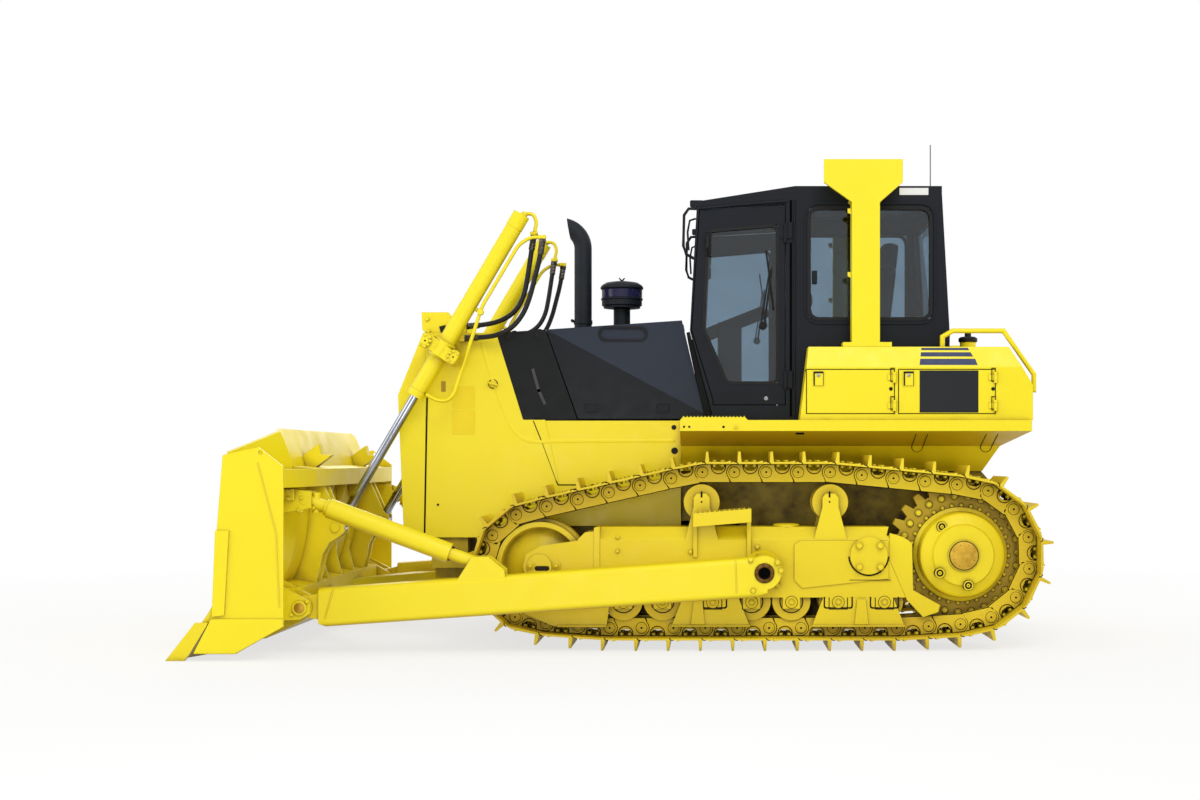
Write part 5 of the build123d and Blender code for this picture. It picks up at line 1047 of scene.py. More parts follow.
# each lid's piece with the places (x, z) of its paddles, their width and height
PADDLES = {
    "engine_cover_left": ([(x, COVER_LATCH_Z) for x in COVER_LATCHES], 96, 66),
    "locker_door_front": ([(900, 1718)], 78, 104),
    "locker_door_rear": ([(322, 1718)], 78, 104),
}
TILT = Matrix.Rotation(math.radians(-2.5), 4, "X")
for node, (places, width, height) in PADDLES.items():
    # the dark sheet in each well is painted shade: the seal's black on the covers, the gap shadow's
    # brown on the lockers
    paint, painted_shade = (COVER_ENAMEL, SEAL) if "cover" in node else (PLATE_ENAMEL, GAP)
    spots_on = [on(node, x, 0, z) for x, z in places]
    outer = rectangle(width, height, 8)
    flap = rectangle(width - 26, height - 26, 4)
    shapes = {
        "latch_frames": (paint, [(ring_plate, s, outer, inset(outer, 6), -2, 3) for s in spots_on]),
        "latch_well_shadows": (painted_shade, [(plate, s, inset(outer, 5), -2, 1, 0.5) for s in spots_on]),
        "latch_plates": (paint, [
            (plate, moved(s, 3, -height * 0.06, 1.5) @ TILT, flap, -2, 3) for s in spots_on
        ]),
    }
    if "locker" in node:
        barrel = [(11, -3), (11, 4), (9, 5), (3, 5), (2.5, 3)]
        shapes["locks"] = (STEEL, [
            (turned, moved(s, 0, height * 0.2, 4), barrel, 20) for s in spots_on
        ])
    for shape, (finish, strokes) in shapes.items():
        part(f"{node}_{shape}", finish, strokes, node, "left")

# %% The right cover's latches, and the cowl's knobs
outer = rectangle(96, 66, 8)
bm = bmesh.new()
for x in COVER_LATCHES:
    spot = on("engine_cover_right", x, 0, COVER_LATCH_Z, TO_RIGHT_SIDE)
    ring_plate(bm, spot, outer, inset(outer, 6), -2, 3)
    plate(bm, spot, rectangle(70, 40, 4), -2, 2)
piece("engine_cover_right_latches", bm, COVER_ENAMEL, "engine_cover_right", "as drawn")
part("cowl_knobs", SEAL, [
    (turned, on("hood_cowl", x, y, 0, TO_TOP),
     [(24, -2), (24, 8), (20, 11), (16, 11), (16, 20), (12, 24)], 24)
    for x in (2915, 2745) for y in (380, -380)
], side="middle")

# %% [markdown]
# ## Locker trims: hinges, stripes and blank panel
# The lids of the left box turn on strap hinges in slots. Three stripes of navy film lie on the
# box's sloping shoulder, each cut back more than the one above it, and a square of black film
# covers the upright side. The film has no lettering. A film is only a tenth of a millimetre
# thick, so it is a flat sheet just off the enamel.

# %% Hinge slots
bracket = [(12, 42), (-12, 42), (-12, -42), (12, -42)]
part("locker_hinge_slots", GAP, [
    (drawn_strip, on(node, x, 0, z), bracket, 5)
    for node, x in (("locker_door_front", 425), ("locker_door_rear", -222))
    for z in (1742, 1560)
], side="left")

# %% Stripes and panel


def film(bm, node, outline):
    """A sheet of film on a node's side, through places (x, z)."""
    spots_on = [on(node, x, 0, z, lift=0.5) for x, z in outline]
    out = spots_on[0].to_3x3() @ Vector(UP)
    sheet(bm, [spot.translation for spot in spots_on], out, 0.4)


SHOULDER_LOW, SHOULDER_HIGH = 1794, 1920
STRIPE_FRONT, FRONT_LEAN = 253, 18
# share of the way up the shoulder: lower and upper edge, rear ends below and above
STRIPES = [(0.09, 0.41, -121, -107), (0.53, 0.75, -95, -79), (0.86, 0.98, -72, -63)]
for i, (low, high, rear_low, rear_high) in enumerate(STRIPES):
    z_low, z_high = (
        SHOULDER_LOW + share * (SHOULDER_HIGH - SHOULDER_LOW) for share in (low, high)
    )
    front_low, front_high = (STRIPE_FRONT - FRONT_LEAN * share for share in (low, high))
    outline = [(front_low, z_low), (rear_low, z_low), (rear_high, z_high), (front_high, z_high)]
    part(f"stripe_{i + 1}", NAVY_FILM, [(film, "locker_box", outline)], side="left")
panel = [(252, 1500), (-125, 1500), (-125, 1770), (252, 1770)]
rear_lid = "locker_door_rear"
part("blank_black_panel", BLACK_FILM, [(film, rear_lid, panel)], rear_lid, "left")

# %% [markdown]
# ## Filler neck and skirt cuts
# The fuel tank's filler has a yellow neck and a black lobed cap behind the handrail. The skirt
# under the box has two U-shaped access cuts.

# %% Filler
neck = stand(at(-142, 400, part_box("fuel_tank")[1].z / MM), UP, FORWARD)
neck_turned = [(62, -4), (62, 10), (54, 14), (54, 84), (58, 88)]
part("filler_neck", PLATE_ENAMEL, [(turned, neck, neck_turned, 32)], side="left")
cap = moved(neck, 0, 0, 88)
part("filler_cap", SEAL, [
    (turned, cap, [(56, -1), (64, 6), (64, 26), (50, 36), (34, 38)], 12),
    (turned, cap, [(22, 30), (22, 62), (16, 72)], 20),
    (turned, moved(cap, 52, 0), [(10, 4), (10, 52), (7, 58)], 16),
], side="left")

# %% U-shaped cuts in the skirt
CUT_R, CUT_TOP, CUT_LOW = 37, 1362, 1285
bm = bmesh.new()
for x in (236, -215):
    outline = [
        (x + CUT_R, CUT_TOP), (x + CUT_R, CUT_LOW), *arc(x, CUT_LOW, CUT_R, -20, -160, 7),
        (x - CUT_R, CUT_LOW), (x - CUT_R, CUT_TOP),
    ]
    spots_on = [on("platform", x, 0, z, lift=0.2) for x, z in outline]
    out = spots_on[0].to_3x3() @ Vector(UP)
    strip(bm, [spot.translation for spot in spots_on], 6, out=out)
piece("skirt_cuts", bm, GAP)

# %% [markdown]
# ## Cab: seals, handle, hinges and roof plate
# Each pane is glued behind a rubber gasket with round corners, and the gasket hides the sharp
# corners of the opening. The door has a black pull handle at its front edge, a wiper, and two
# hinges on the middle pillar.

# %% Gaskets
SIDE_PANE = [(158, 2133), (934, 2133), (934, 2837), (158, 2837)]
SIDE_FRAME = [(128, 2098), (966, 2098), (966, 2872), (128, 2872)]
DOOR_PANE = [(1162, 1712), (1474, 1712), (1627, 2062), (1599, 2688), (1162, 2726)]
CAB_SIDE = 700


def side_frame(bm, outline, radius, width, low, high):
    """A flat gasket on the cab's side round an outline of (x, z) places."""
    inner = rounded([(-x, z) for x, z in outline], radius, 6)
    ring_plate(bm, stand(at(0, CAB_SIDE, 0)), inset(inner, -width), inner, low, high)


part("side_window_gaskets", SEAL, [(side_frame, SIDE_PANE, 62, 24, -26, 4)])
part("side_window_frames", CAB_ENAMEL, [(side_frame, SIDE_FRAME, 96, 12, -2, 9)])
gasket = [(side_frame, DOOR_PANE, 40, 20, -26, 3)]
for side in ("left", "right"):
    part(f"door_gasket_{side}", SEAL, gasket, f"cab_door_{side}", side)

# %% Door handle, lock and wiper
HANDLE_FEET = [(2660, 42, 60), (2575, 40, 90)]  # z, width and height
HANDLE_GRIP = [(1607, 712, 2680), (1609, 735, 2655), (1609, 738, 2585), (1607, 715, 2545)]
WIPER_PIVOT = stand(at(1248, CAB_SIDE, 2075))
WIPER_RODS = [
    # start, end, radius
    ((1240, 722, 2085), (1190, 716, 2455), 7), ((1262, 722, 2065), (1205, 716, 2440), 5),
    ((1176, 711, 2180), (1228, 711, 2570), 6),
]
door_fittings = {
    "handle": (HANDLE_BLACK, [
        *((plate, stand(at(1607, CAB_SIDE, z)), rectangle(width, height, 12), -1, 12, 5)
          for z, width, height in HANDLE_FEET),
        (bar, [at(*place) for place in HANDLE_GRIP], 11, 12),
    ]),
    "lock": (CHROME, [(turned, stand(at(1227, CAB_SIDE, 1600)), [(15, -1), (15, 3), (12, 6)])]),
    "wiper": (SEAL, [
        (turned, WIPER_PIVOT, [(26, -2), (26, 10), (22, 16), (12, 16), (11, 28)], 20),
        *((bar, [at(*start), at(*end)], radius, 8) for start, end, radius in WIPER_RODS),
    ]),
}
for side in ("left", "right"):
    for fitting, (finish, strokes) in door_fittings.items():
        part(f"door_{fitting}_{side}", finish, strokes, f"cab_door_{side}", side)

# %% Pillar details: hinge blocks, window latch, rain channel, seals and roof plate
bm = bmesh.new()
for z in (2700, 1720):
    plate(bm, stand(at(1072, CAB_SIDE, z)), rectangle(34, 110, 8), -1, 16, 4)
    bar(bm, [at(1094, CAB_SIDE + 12, z - 52), at(1094, CAB_SIDE + 12, z + 52)], 11, 14)
plate(bm, stand(at(910, CAB_SIDE, 2394)), rectangle(34, 88, 6), -20, 12, 3)
# the rain channel over the door
bar(bm, [at(x, CAB_SIDE + 8, z) for x, z in ((1090, 2893), (1420, 2868), (1650, 2845))], 9)
bar(bm, [at(1040, CAB_SIDE + 5, z) for z in (1480, 2100, 2900)], 7)
piece("pillar_trims", bm, CAB_ENAMEL)
hinge_side, roof_edge = stand(at(1065, CAB_SIDE, 2190)), stand(at(258, CAB_SIDE, 2957))
part("hinge_side_seals", HOLE, [(plate, hinge_side, rectangle(15, 1420, 3), -1, 2, 0.5)])
white = [(plate, roof_edge, rectangle(190, 46, 3), -1, 2, 0.5)]
part("blank_white_plate", WHITE_PLATE, white, side="left")

# %% The front corner's grab rail and mirror bracket
FRONT_RAIL = [(1680, 690, 2845), (1735, 705, 2843), (1765, 712, 2800), (1770, 712, 2600),
              (1752, 708, 2545), (1700, 690, 2518)]
MIRROR_ARM = [(1690, 690, 2780), (1728, 706, 2765), (1742, 712, 2690), (1735, 708, 2570)]
part("front_grab_rails", CAB_ENAMEL, [
    (bar, [at(*place) for place in FRONT_RAIL], 10, 12),
    (bar, [at(*place) for place in MIRROR_ARM], 7, 12),
    (plate, stand(at(1682, 690, 2878)), rectangle(90, 44, 10), -12, 12, 4),
])

# %% The rubber apron between the hood and the cab
APRON = [(-1586, 1460), (-1624, 1460), (-1640, 1500), (-1752, 2040), (-1729, 2046), (-1584, 1500)]
APRON_HALF = 585
apron = [(plate, stand(at(0, 0, 0)), APRON, -APRON_HALF, APRON_HALF, 2)]
part("cab_front_apron", SEAL, apron, side="middle")

# %% [markdown]
# ## Operator's seat
# The seat is foam cushions under woven polyester, bolted to a suspension. Each cushion starts
# as a box cage. Its middle is crowned, its corners are pulled in, and a subdivision surface
# rounds it, which is how a trimmer's foam looks with its cover pulled tight. Only its outline
# shows through the tinted glass, so simulated cloth would add nothing.

# %% Cushions


def cushion(name, centre, size, crown, lean=0.0):
    """A crowned cushion: centre and size in millimetres, lean in degrees about Y."""
    bm = bmesh.new()
    bmesh.ops.create_cube(bm, size=1.0)
    bmesh.ops.subdivide_edges(bm, edges=bm.edges[:], cuts=5, use_grid_fill=True)
    for vert in bm.verts:
        x, y, z = vert.co * 2
        swell = (1 - x * x) * (1 - y * y)
        pull = 1 - 0.06 * (x * x + y * y) * abs(z)
        thick = size[2] / 2 * z + crown * swell * (1 if z > 0 else 0.15)
        vert.co = Vector((x * size[0] / 2 * pull, y * size[1] / 2 * pull, thick)) * MM
    turn = Matrix.Rotation(math.radians(lean), 4, "Y")
    turn.translation = at(*centre)
    bm.transform(turn)
    made = piece(name, bm, SEAT_CLOTH, side="middle")
    soft = made.modifiers.new("soft_foam", "SUBSURF")
    soft.levels = soft.render_levels = 2
    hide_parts("seat")


cushion("seat_cushion", (665, 0, 1845), (470, 480, 130), 22)
cushion("seat_back", (405, 0, 2245), (600, 440, 120), 24, lean=83)
cushion("head_rest", (352, 0, 2600), (190, 280, 105), 20, lean=84)
for side, y in (("left", 290), ("right", -290)):
    cushion(f"arm_rest_{side}", (640, y, 2120), (330, 75, 60), 8)

# %% Suspension, levers and the dash
made = part("seat_suspension", ABS, [
    (plate, stand(at(650, 0, low), UP, FORWARD), rectangle(width * 0.9, width, 40),
     0, high - low, 12)
    for low, high, width in ((1495, 1560, 400), (1560, 1720, 300), (1720, 1780, 420))
], side="middle")
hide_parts("seat")

bm = bmesh.new()
for y, top in ((440, 2290), (-440, 2260)):
    bar(bm, [at(900, y, 2060), at(915, y, 2150), at(935, y, top - 60)], 13, 14)
    knob = stand(at(935, y, top - 70), (0.1, 0, 1), FORWARD)
    turned(bm, knob, [(20, 0), (30, 20), (34, 50), (30, 85), (18, 98)], 24)
for x, z in ((1400, 2150), (1440, 2165)):
    plate(bm, stand(at(x, 0, z), (0.4, 0, 1), LEFT), rectangle(460, 60, 20), -40, 20, 10)
piece("levers_and_dash_hood", bm, ABS, side="middle")

# %% [markdown]
# ## Blade hardware
# The cutting edge and end bits are bolted on, so that they can be turned when they wear: their
# plough bolts show as round heads in front. The blade's pins end in bronze discs held by rings,
# a cap screw locks the strut's cross, and weld beads run where its plates meet.

# %% Plough bolts along the cutting edge
BOLT_ROW = range(-1015, 1016, 145)
EDGE_BOLT = [(17, -2), (17, 1.5), (14, 2.5), (8, 2.5), (7, 0.5)]
part("plough_bolts", STEEL, [
    (turned, on("cutting_edge", 0, y, 195, TO_FRONT), EDGE_BOLT, 20) for y in BOLT_ROW
], "blade", "middle")

# %% Pins, discs and the cross's lower screw
STRUT_CROSS = (4096, 950)
pin_end = stand(at(4108, 1449, 290))
bm = bmesh.new()
turned(bm, pin_end, [(44, -6), (44, 1), (41, 3), (33, 3), (32, 0)], 32)
for x, y in arc(0, 0, 62, 40, 220, 1):
    bolt(bm, moved(pin_end, x, y, -12), 20)
part("blade_pin_discs", BRONZE, [(turned, pin_end, [(31, -1), (31, 2), (29, 3)], 32)], "blade")
bolt(bm, on("tilt_struts", STRUT_CROSS[0] - 52, 0, STRUT_CROSS[1] - 46), 24)
piece("blade_pin_rings", bm, PLATE_ENAMEL, "blade")

# %% Weld beads on the blade and arms
WELDS = [
    # solid that the bead lies on, radius, places (x, z) in the side view
    ("push_arms", 6, [(3960, 225), (3905, 420)]),
    ("push_arms", 5, [(1440, 600), (1432, 380)]),
    ("blade_mould", 5, [(4290, 1180), (4180, 760), (4160, 320)]),
]
WELD_STEPS = 12
bm = bmesh.new()
for node, radius, places in WELDS:
    steps = [
        (x1 + (x2 - x1) * i / WELD_STEPS, z1 + (z2 - z1) * i / WELD_STEPS)
        for (x1, z1), (x2, z2) in zip(places, places[1:]) for i in range(WELD_STEPS + 1)
    ]
    # an end of a bead may lie just past its plate, where the ray finds nothing
    bar(bm, [spot.translation for spot in (on(node, x, 0, z) for x, z in steps) if spot], radius, 8)
piece("blade_weld_beads", bm, EDGE_ENAMEL, "blade")

# %% [markdown]
# ## Lamps and hose ends
# Each work lamp has a bright bowl behind its glass, a rubber ring round it and two bolts in its
# bracket. The hoses end in crimped ferrules with a hex, which turn with the hoses' unions.

# %% Lamp bowls, rings and bolts
face = stand(at(3478, 495, 2109), FORWARD)
outer = rectangle(142, 104, 20)
part("lamp_bowls", LAMP_BOWL, [
    (plate, moved(face, 0, 0, -9), inset(outer, 8), -1, 0.5, 0.3),
    (turned, face, [(9, -8), (9, -3), (6, -1)], 16),
])
part("lamp_rings", SEAL, [(ring_plate, face, outer, inset(outer, 9), -6, 6)])
lamp_bolts = [(bolt, on("headlamps", x, 0, z), 20) for x, z in ((3466, 2128), (3459, 2048))]
part("lamp_bolts", PLATE_ENAMEL, lamp_bolts)

# %% Hose ferrules, riding with the hoses' ends
CRIMP = [(19, -6), (21, 0), (21, 18), (19, 20), (21, 24), (21, 42), (19, 44), (21, 48), (21, 64),
         (18, 70)]
HEX_END = [(25, -30), (25, -8), (22, -5)]
for side, sign in (("left", 1), ("right", -1)):
    for route, places in HOSE_ROUTES.items():
        for end, ends, body in (
            ("upper", places[:2], f"lift_barrel_{side}"), ("lower", places[:-3:-1], "machine")
        ):
            start, beyond = (at(x, sign * y, z) for x, y, z in ends)
            spot = stand(start, beyond - start)
            part(f"{route}_{side}_{end}_ferrule", DARK_STEEL, [
                (turned, spot, CRIMP, 20), (turned, spot, HEX_END, 6)
            ], body, "as drawn")

# %% [markdown]
# ## Painted shadows of the running gear
# The gaps between links, shoes and covers lie in shade, and that shade is what separates the
# forgings to the eye. Each gap's shadow is painted as a thin dark layer that shows round the
# edge of the part lying on it.

# %% Painted shadow round the link plates and pins
shadow_outline = inset(LINK_PLATE, -5)
bm = bmesh.new()
for spot in link_faces:
    plate(bm, spot, shadow_outline, -1, 2, 0.5)
    turned(bm, spot, [(37, -2), (37, 5.6), (35, 6)], 24)
    turned(bm, spot, [(6.5, 2), (6.5, 7.6), (4, 7.8)], 10)
piece("chain_shadow_lines", bm, SHADOW_PAINT)

# %% The lap of each shoe over the next one, as a painted shadow in a hook on the shoe's end
hook = arc(4, LINK_RISE - 8, 20, 20, 100, 4)
part("shoe_lap_shadow_lines", SHADOW_PAINT, [
    (drawn_strip, along_link(i, TRACK_Y + side * SHOE_HALF, side), hook, 5, 0.4, 0.6, (0, side, 0))
    for i in range(LINKS) for side in (1, -1)
])

# %% [markdown]
# ## Roller caps, carrier slots and the step
# A track roller turns on a fixed shaft whose end sits in a saddle of the frame, under a round
# cap with a plug. Its flange has a groove turned in its face. The guards have a rounded notch
# round each shaft. The carrier rollers' brackets have a slot and a grease hole, and the step
# over the frame has teeth filed into its top for a muddy boot.

# %% Roller shafts
ROLLERS = (492, 784, 1080, 1332, 1579, 1896, 2144)
GUARDED_ROLLERS = (492, 784, 1579)
SHAFT_CAP = [(37, -2), (37, 4), (33, 8), (25, 8), (23, 3), (13, 3), (13, 9), (9, 11)]
NOTCH = [(-88, 30), *arc(-74, -22, 14, 180, 270, 4), *arc(74, -22, 14, -90, 0, 4), (88, 30)]
GROOVE = arc(0, 0, 76, 0, 360, 32)[:-1]
PAST_CAP = 64  # from a roller's shaft, where a ray clears the cap and meets the flange
# the second mesh is painted shadow: a ring round each cap, the notches in the guards and the
# flanges' grooves
bm, painted_shade = bmesh.new(), bmesh.new()
for x in ROLLERS:
    spot = nearest("track_frames track_guards", x, 296)
    turned(bm, spot, SHAFT_CAP, 28)
    turned(painted_shade, spot, [(40, -2), (40, 1.2), (38, 1.5)], 28)
    if x in GUARDED_ROLLERS:
        drawn_strip(painted_shade, spot, NOTCH, 9)
    else:
        flange = upright(x, 300, on("rollers", x + PAST_CAP, 0, 300))
        ring_plate(painted_shade, flange, GROOVE, inset(GROOVE, 7), -1, 0.8)
piece("roller_shaft_caps", bm, CASTING_ENAMEL)

# %% Carrier brackets, pivot cover, frame seams
# the slots and holes of the brackets, the crescent under the pivot cover and the line below it are
# painted shadow
for x in (1649, 839):
    plate(painted_shade, on("track_frames", x, 0, 978), rectangle(12, 40, 5), -1, 1, 0.4)
    turned(painted_shade, on("track_frames", x, 0, 931), [(6, -1), (6, 1)], 12)
pivot = on("track_frames", 592, 0, 462)
for outline, width in ((arc(592, 592, 126, 185, 355, 17), 9), ([(711, 437), (455, 437)], 4)):
    places = [moved(upright(x, z, pivot), 0, 0, 0.4).translation for x, z in outline]
    strip(painted_shade, places, width)
piece("frame_shadow_lines", painted_shade, SHADOW_PAINT)

# %% The boss on the frame's top, and the step's teeth
bm = bmesh.new()
top = on("track_frames", 1108, 950, 0, TO_TOP)
turned(bm, top, [(86, -4), (86, 8), (80, 15), (60, 19), (30, 20)], 40)
STEP_REAR, TEETH, TOOTH_PITCH = 1376, 16, 13
for x in range(STEP_REAR, STEP_REAR + TEETH * TOOTH_PITCH, TOOTH_PITCH):
    plate(bm, on("track_frames", x, 1130, 0, TO_TOP), rectangle(46, 7, 1, 2), -3, 11, 3)
piece("frame_boss_and_step_teeth", bm, CASTING_ENAMEL)

# %% Inner guard behind the rollers, a plate that stands in for the shade between them
guard = rounded([(-430, 125), (-2230, 125), (-2230, 318), (-430, 318)], 30, 5)
part("inner_roller_shade_plates", SHELTERED_ENAMEL, [(plate, stand(at(0, 782, 0)), guard, 0, 12, 2)])

# %% [markdown]
# ## Trunnion bore
# The arm's end turns on a big hollow trunnion. Its bore is left bare: a rusty ring round a
# black hole.

# %% Ring and hole
TRUNNION = (1261, 500)
PAST_BORE = 52  # the ray has to meet the arm and not its bore
arm_face = nearest("push_arms track_frames", TRUNNION[0] + PAST_BORE, TRUNNION[1])
bore = upright(*TRUNNION, arm_face)
rusty_ring = [(58, -2), (58, 2.4), (54, 4), (42, 4), (40, 1.5)]
part("trunnion_rings", RUSTY_STEEL, [(turned, bore, rusty_ring, 40)], "blade")
part("trunnion_hole_and_line", HOLE, [
    (turned, bore, [(61, -2), (61, 1)], 40), (turned, bore, [(37, 0), (37, 3)], 40)
], "blade")

# %% [markdown]
# ## Front sides: joints, pressed bead and blank plates
# The radiator guard's side meets the mask in a joint a finger wide, and the shadow in it is
# painted as a black strip. Its sheet is stiffened by a bead pressed along the hood, soft enough
# to show only as a change of light. Two blank plates of amber film stand where a maker would put
# signs.

# %% Joints, their shadows painted as black strips
GUARD_SIDE = 600
JOINTS = [
    # width and places (x, z)
    (11, [(3467, 1604), (3484, 692)]), (6, [(2763, 1452), (2708, 1316)]),
    (3.5, [(2708, 1316), (2604, 1036)]), (8, [(2612, 1056), (2600, 1032)]),
    (8, [(2594, 1031), (2466, 1031)]), (8, [(2396, 1031), (2262, 1031)]),
]
part("guard_joint_shadows", HOLE, [
    (strip, [at(x, GUARD_SIDE + 0.3, z) for x, z in places], width) for width, places in JOINTS
])

# %% The pressed bead, a smooth line through its places
BEAD = [(3105, 1964), (3050, 1775), (2953, 1506), (2892, 1389), (2794, 1322), (2600, 1320)]
BEAD_END = Vector((1830, 0, 1324))
BEAD_R, BEAD_PROUD = 34, 2.6
line = [Vector((x, 0, z)) for x, z in BEAD]
soft_line = []
for before, a, b, after in zip(line[:1] + line, line, line[1:], line[2:] + line[-1:]):
    for step in range(6):
        t = step / 6
        bend = (2 * before - 5 * a + 4 * b - after) * t**2 + (3 * a - before - 3 * b + after) * t**3
        soft_line.append(0.5 * (2 * a + (b - before) * t + bend))
bead_y = GUARD_SIDE + BEAD_PROUD - BEAD_R
bead = [at(p.x, bead_y, p.z) for p in [*soft_line, line[-1], BEAD_END]]
part("pressed_bead", PLATE_ENAMEL, [(bar, bead, BEAD_R, 40)])

# %% Blank plates, the painted shadow in the corner under the lamp, plugs and slots of the cowl
guard_side = stand(at(0, GUARD_SIDE, 0))
signs = [
    rounded([(-3151, low), (-3301, low), (-3301, high), (-3151, high)], 8, 3)
    for low, high in ((1538, 1683), (1366, 1526))
]
part("blank_amber_plates", AMBER_FILM, [
    (plate, guard_side, sign, -0.5, 0.9, 0.3) for sign in signs
], side="left")
ochre = [(plate, on("radiator_guard", 3359, 0, 1682), rectangle(30, 70, 4), -1, 1.2, 0.3)]
part("blank_ochre_plate", OCHRE_FILM, ochre, side="left")
# a dark wedge painted as the shadow in the corner under the lamp
LAMP_SHADOW_WEDGE = [(-3388, 2080), (-3346, 2090), (-3350, 2060), (-3372, 2018)]
part("cowl_side_plugs_and_lamp_shadow", SEAL, [
    (plate, stand(at(0, 592, 0)), LAMP_SHADOW_WEDGE, -2, 3, 0.5),
    *((turned, on("hood_cowl", x, 0, z),
       [(radius, -2), (radius, 3), (radius - 4, 6), (8, 7), (6, 5)])
      for x, z, radius in ((2928, 2013, 21), (2745, 2019, 19), (2739, 1487, 19))),
])
slots = [at(x, GUARD_SIDE + 0.4, z) for x, z in ((2766, 1790), (2728, 1655), (2690, 1572))]
part("cowl_slots", CAST_IRON, [(strip, slots, 20)])

# %% [markdown]
# ## Yoke bands, air cleaner and cover handles
# A band round each lift barrel carries its two pins, and each pin turns in a bearing block with
# a bolted cap. The air cleaner has a flat rain cap with a wing nut, and a collecting bowl of
# smoked plastic under it. The covers' handles are recesses with a black rubber rim.

# %% Yoke bands and bearing caps
LIFT_Y = 750
YOKE_PIN = (3345, LIFT_Y, 1914)
ROD_EYE = (4024, LIFT_Y, 759)
BLOCK_Y, BLOCK_REACH = 851, 0.105  # the blocks' outer face in mm, and their reach in metres
barrel_way = (at(*ROD_EYE) - at(*YOKE_PIN)).normalized()
across_way = Vector(LEFT).cross(barrel_way)
oval = stand(at(*YOKE_PIN), barrel_way, across_way) @ Matrix.Diagonal((1.47, 0.95, 1, 1))
band = [(64, -62), (73, -52), (73, 44), (68, 50), (64, 58)]
part("yoke_bands", PLATE_ENAMEL, [(turned, oval, band, 40)])
# the grease holes are painted shadow
bm, painted_shade = bmesh.new(), bmesh.new()
for way in (-1, 1):
    middle_of = at(YOKE_PIN[0], BLOCK_Y, YOKE_PIN[2]) + across_way * way * BLOCK_REACH
    block = stand(middle_of, LEFT, barrel_way)
    plate(bm, block, rectangle(58, 96, 22, 5), -30, 16, 6)
    for dx, dy in ((-16, 34), (16, 34), (-16, -34), (16, -34), (30 * way, 12), (30 * way, -14)):
        bolt(bm, moved(block, dx, dy, 12), 17, 1.1)
    turned(painted_shade, block, [(6, 10), (6, 17)], 12)
piece("yoke_bearing_caps", bm, PLATE_ENAMEL)
piece("yoke_grease_holes", painted_shade, SHADOW_PAINT)

# %% Air cleaner
CLEANER_X = 2209
cleaner = stand(at(CLEANER_X, 0, 0), UP, FORWARD)
CLEANER_TURNED = [
    ([(134, 2374), (145, 2384), (150, 2390), (149, 2399), (140, 2412), (112, 2430), (62, 2438),
      (20, 2440)], 56),
    ([(138, 2306), (146, 2311), (146, 2320), (138, 2325)], 56),
    ([(60, 2246), (67, 2250), (67, 2268), (60, 2272)], 40),
    ([(9, 2436), (9, 2450), (6, 2453)], 16),
]
WING = ((4, 2445), (12, 2456), (19, 2464))
part("air_cleaner_cap", HEAT_ENAMEL, [
    *((turned, cleaner, profile, sides) for profile, sides in CLEANER_TURNED),
    *((bar, [at(CLEANER_X + way * x, 0, z) for x, z in WING], 5) for way in (-1, 1)),
], side="middle")
bowl = [(136, 2322), (141.5, 2324), (142.5, 2378), (137, 2380)]
part("air_cleaner_bowl", SMOKED_BOWL, [(turned, cleaner, bowl, 56)], side="middle")

# %% Exhaust clamp bolt and cover handles
part("exhaust_clamp_bolt", HEAT_ENAMEL, [
    *((turned, stand(at(2546, y, 2158), (0, way, 0)), [(11, -20), (11, 0), (8, 2)], 6)
      for y, way in ((72, -1), (128, 1))),
    (bar, [at(2540, 64, 2158), at(2540, 136, 2158)], 8),
], side="left")
rim = rectangle(330, 102, 50, 8)
handle_rim = [(ring_plate, stand(at(2171, GUARD_SIDE, 2030)), rim, inset(rim, 13), -8, 4)]
for side in ("left", "right"):
    cover = f"engine_cover_{side}"
    part(f"{cover}_handle_rim", SEAL, handle_rim, cover, side)

# %% [markdown]
# ## Strut ends
# The tilt strut ends in a cross: a block on the blade and a fork on the strut, held by cap
# screws. Where the rod leaves the tube there is a black wiper seal, and a weld runs round the
# tube where its two halves meet.

# %% Cross, seal and weld
STRUT_Y = 1302
STRUT_REAR = (3009, 545)
strut_front = at(STRUT_CROSS[0], STRUT_Y, STRUT_CROSS[1])
strut_rear = at(STRUT_REAR[0], STRUT_Y, STRUT_REAR[1])
strut_way = (strut_rear - strut_front).normalized()


def along_strut(x):
    """A stand on the strut's line at x, facing its rear end."""
    share = (STRUT_CROSS[0] - x) / (STRUT_CROSS[0] - STRUT_REAR[0])
    return stand(strut_front.lerp(strut_rear, share), strut_way)


wiper = [(46, -12), (46, 4), (42, 8), (42, 42), (40, 44)]
part("strut_wiper_seals", SEAL, [(turned, along_strut(3196), wiper, 32)], "blade")
bm = bmesh.new()
turned(bm, along_strut(3520), [(61, -3), (64, -1.5), (64, 1.5), (61, 3)], 40)
for node, x, z, wide, tall, tilt, high in (
    ("blade_frame", 4187, 984, 76, 78, 0, 26), ("tilt_struts", 4118, 925, 54, 108, -14, 22),
):
    face = upright(x, z, on(node, x, 0, z)) @ Matrix.Rotation(math.radians(tilt), 4, "Z")
    plate(bm, face, rectangle(wide, tall, 12, 4), -14, high, 6)
    for end in (-1, 1):
        bolt(bm, moved(face, 0, end * (tall / 2 - 16), high), 20)
piece("strut_cross_blocks", bm, PLATE_ENAMEL, "blade", "left")

# %% Platform edge: drain slot, sight hole and step bolt
step_bolt = [(14, -1), (14, 4), (11, 7), (6, 7), (5, 4)]
part("platform_step_bolts", PLATE_ENAMEL, [(turned, on("platform", 1431, 0, 1407), step_bolt, 20)])
part("platform_drain_slots", HOLE, [
    (plate, on("platform", 1019, 0, 1366), rectangle(36, 55, 6), -1, 1.5, 0.5),
    (turned, on("platform", 1509, 0, 1407), [(8, -1), (8, 1.5), (7, 2)], 20),
])

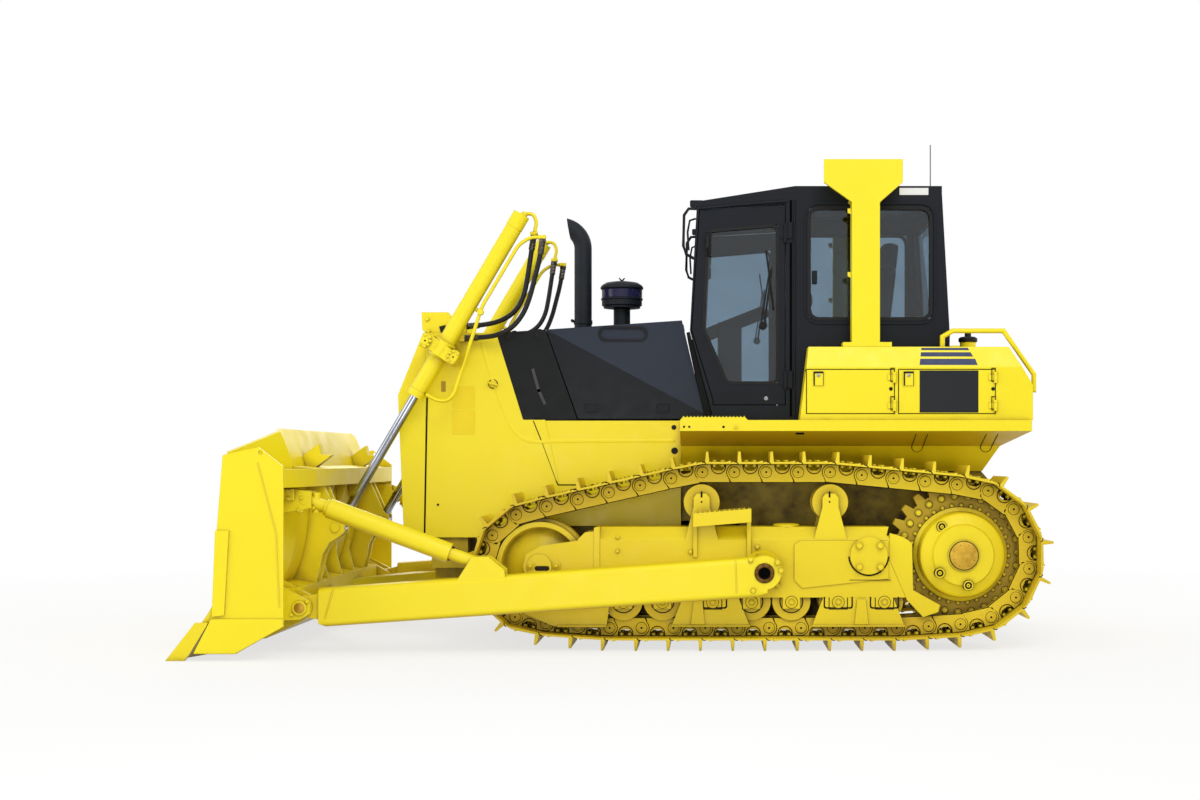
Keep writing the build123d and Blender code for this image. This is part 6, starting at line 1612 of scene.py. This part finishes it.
# %% [markdown]
# ## Studio
# A plain pale floor and even light show a machine best. The sky is a soft white dome, and five
# big lamps shape it: a key high on the camera's side, fills from the front, from behind and from
# the far side, and a low one under the key that reaches the running gear. Their sum is set so
# that the enamel renders about as its colour is written. The camera sees the world as white,
# and the floor as white with the machine's shadow on it.

# %% Floor and sky
DOME_LEVEL = 0.6


def glow_share(add):
    """1 for rays that look at the background: from the camera, a mirror or through glass."""
    rays = add("LightPath").node.outputs
    share = rays["Is Camera Ray"]
    for ray in ("Is Glossy Ray", "Is Transmission Ray"):
        share = add("Math", (share, rays[ray]), operation="MAXIMUM")
    return share


world = bpy.data.worlds.new("studio_sky")
bpy.context.scene.world = world
world.use_nodes = True
add = adder(world.node_tree)
level = add("MapRange", (glow_share(add), 0, 1, DOME_LEVEL, 1.0))
add("OutputWorld", (add("Background", ("#FFFFFF", level)),))

# paint rolled on board: matt and pale. Near the machine the floor keeps its shadow, and far
# away it fades into the sky
floor_finish = bpy.data.materials.new("pale_studio_floor")
floor_finish.use_nodes = True
add = adder(floor_finish.node_tree)
place = add("TexCoord", out="Object")
reach = add("VectorMath", (place,), "Value", operation="LENGTH")
seen = add("MapRange", (reach, 3.0, 9.0, 0.72, 1.0))
share = add("Math", (glow_share(add), seen), operation="MULTIPLY")
matt = add("BsdfDiffuse", {"Color": "#F2F1EE"})
white = add("Emission", {"Color": "#FFFFFF", "Strength": 1.0})
add("OutputMaterial", (add("MixShader", (share, matt, white)),))

FLOOR_HALF = 40.0
bm = bmesh.new()
bmesh.ops.create_grid(bm, x_segments=8, y_segments=8, size=FLOOR_HALF)
floor_mesh = bpy.data.meshes.new("studio_floor")
bm.to_mesh(floor_mesh)
bm.free()
floor = bpy.data.objects.new("studio_floor", floor_mesh)
floor.location.z = -1 * MM
link(floor, floor_finish)
print("floor and dome at", DOME_LEVEL)

# %% Lamps
# name, place in metres from the machine's middle, size in metres, power in watts
LAMPS = [
    ("key", (-2.5, 9.0, 9.0), 5.0, 450),
    ("front_fill", (9.5, 4.0, 4.0), 5.0, 200),
    ("rear_fill", (-8.0, -3.0, 4.5), 4.0, 130),
    ("far_fill", (2.0, -8.0, 5.0), 5.0, 200),
    ("low_fill", (0.6, 7.5, 0.9), 1.4, 45),
]
AIM = Vector((0, 0, 1.2))
for name, place, size, power in LAMPS:
    data = bpy.data.lights.new(name, "AREA")
    data.size = size
    data.energy = power
    lamp = bpy.data.objects.new(name, data)
    lamp.location = place
    lamp.rotation_euler = (AIM - Vector(place)).to_track_quat("-Z", "Y").to_euler()
    bpy.context.scene.collection.objects.link(lamp)
bpy.context.scene.view_settings.view_transform = "Standard"
print(len(LAMPS), "lamps")
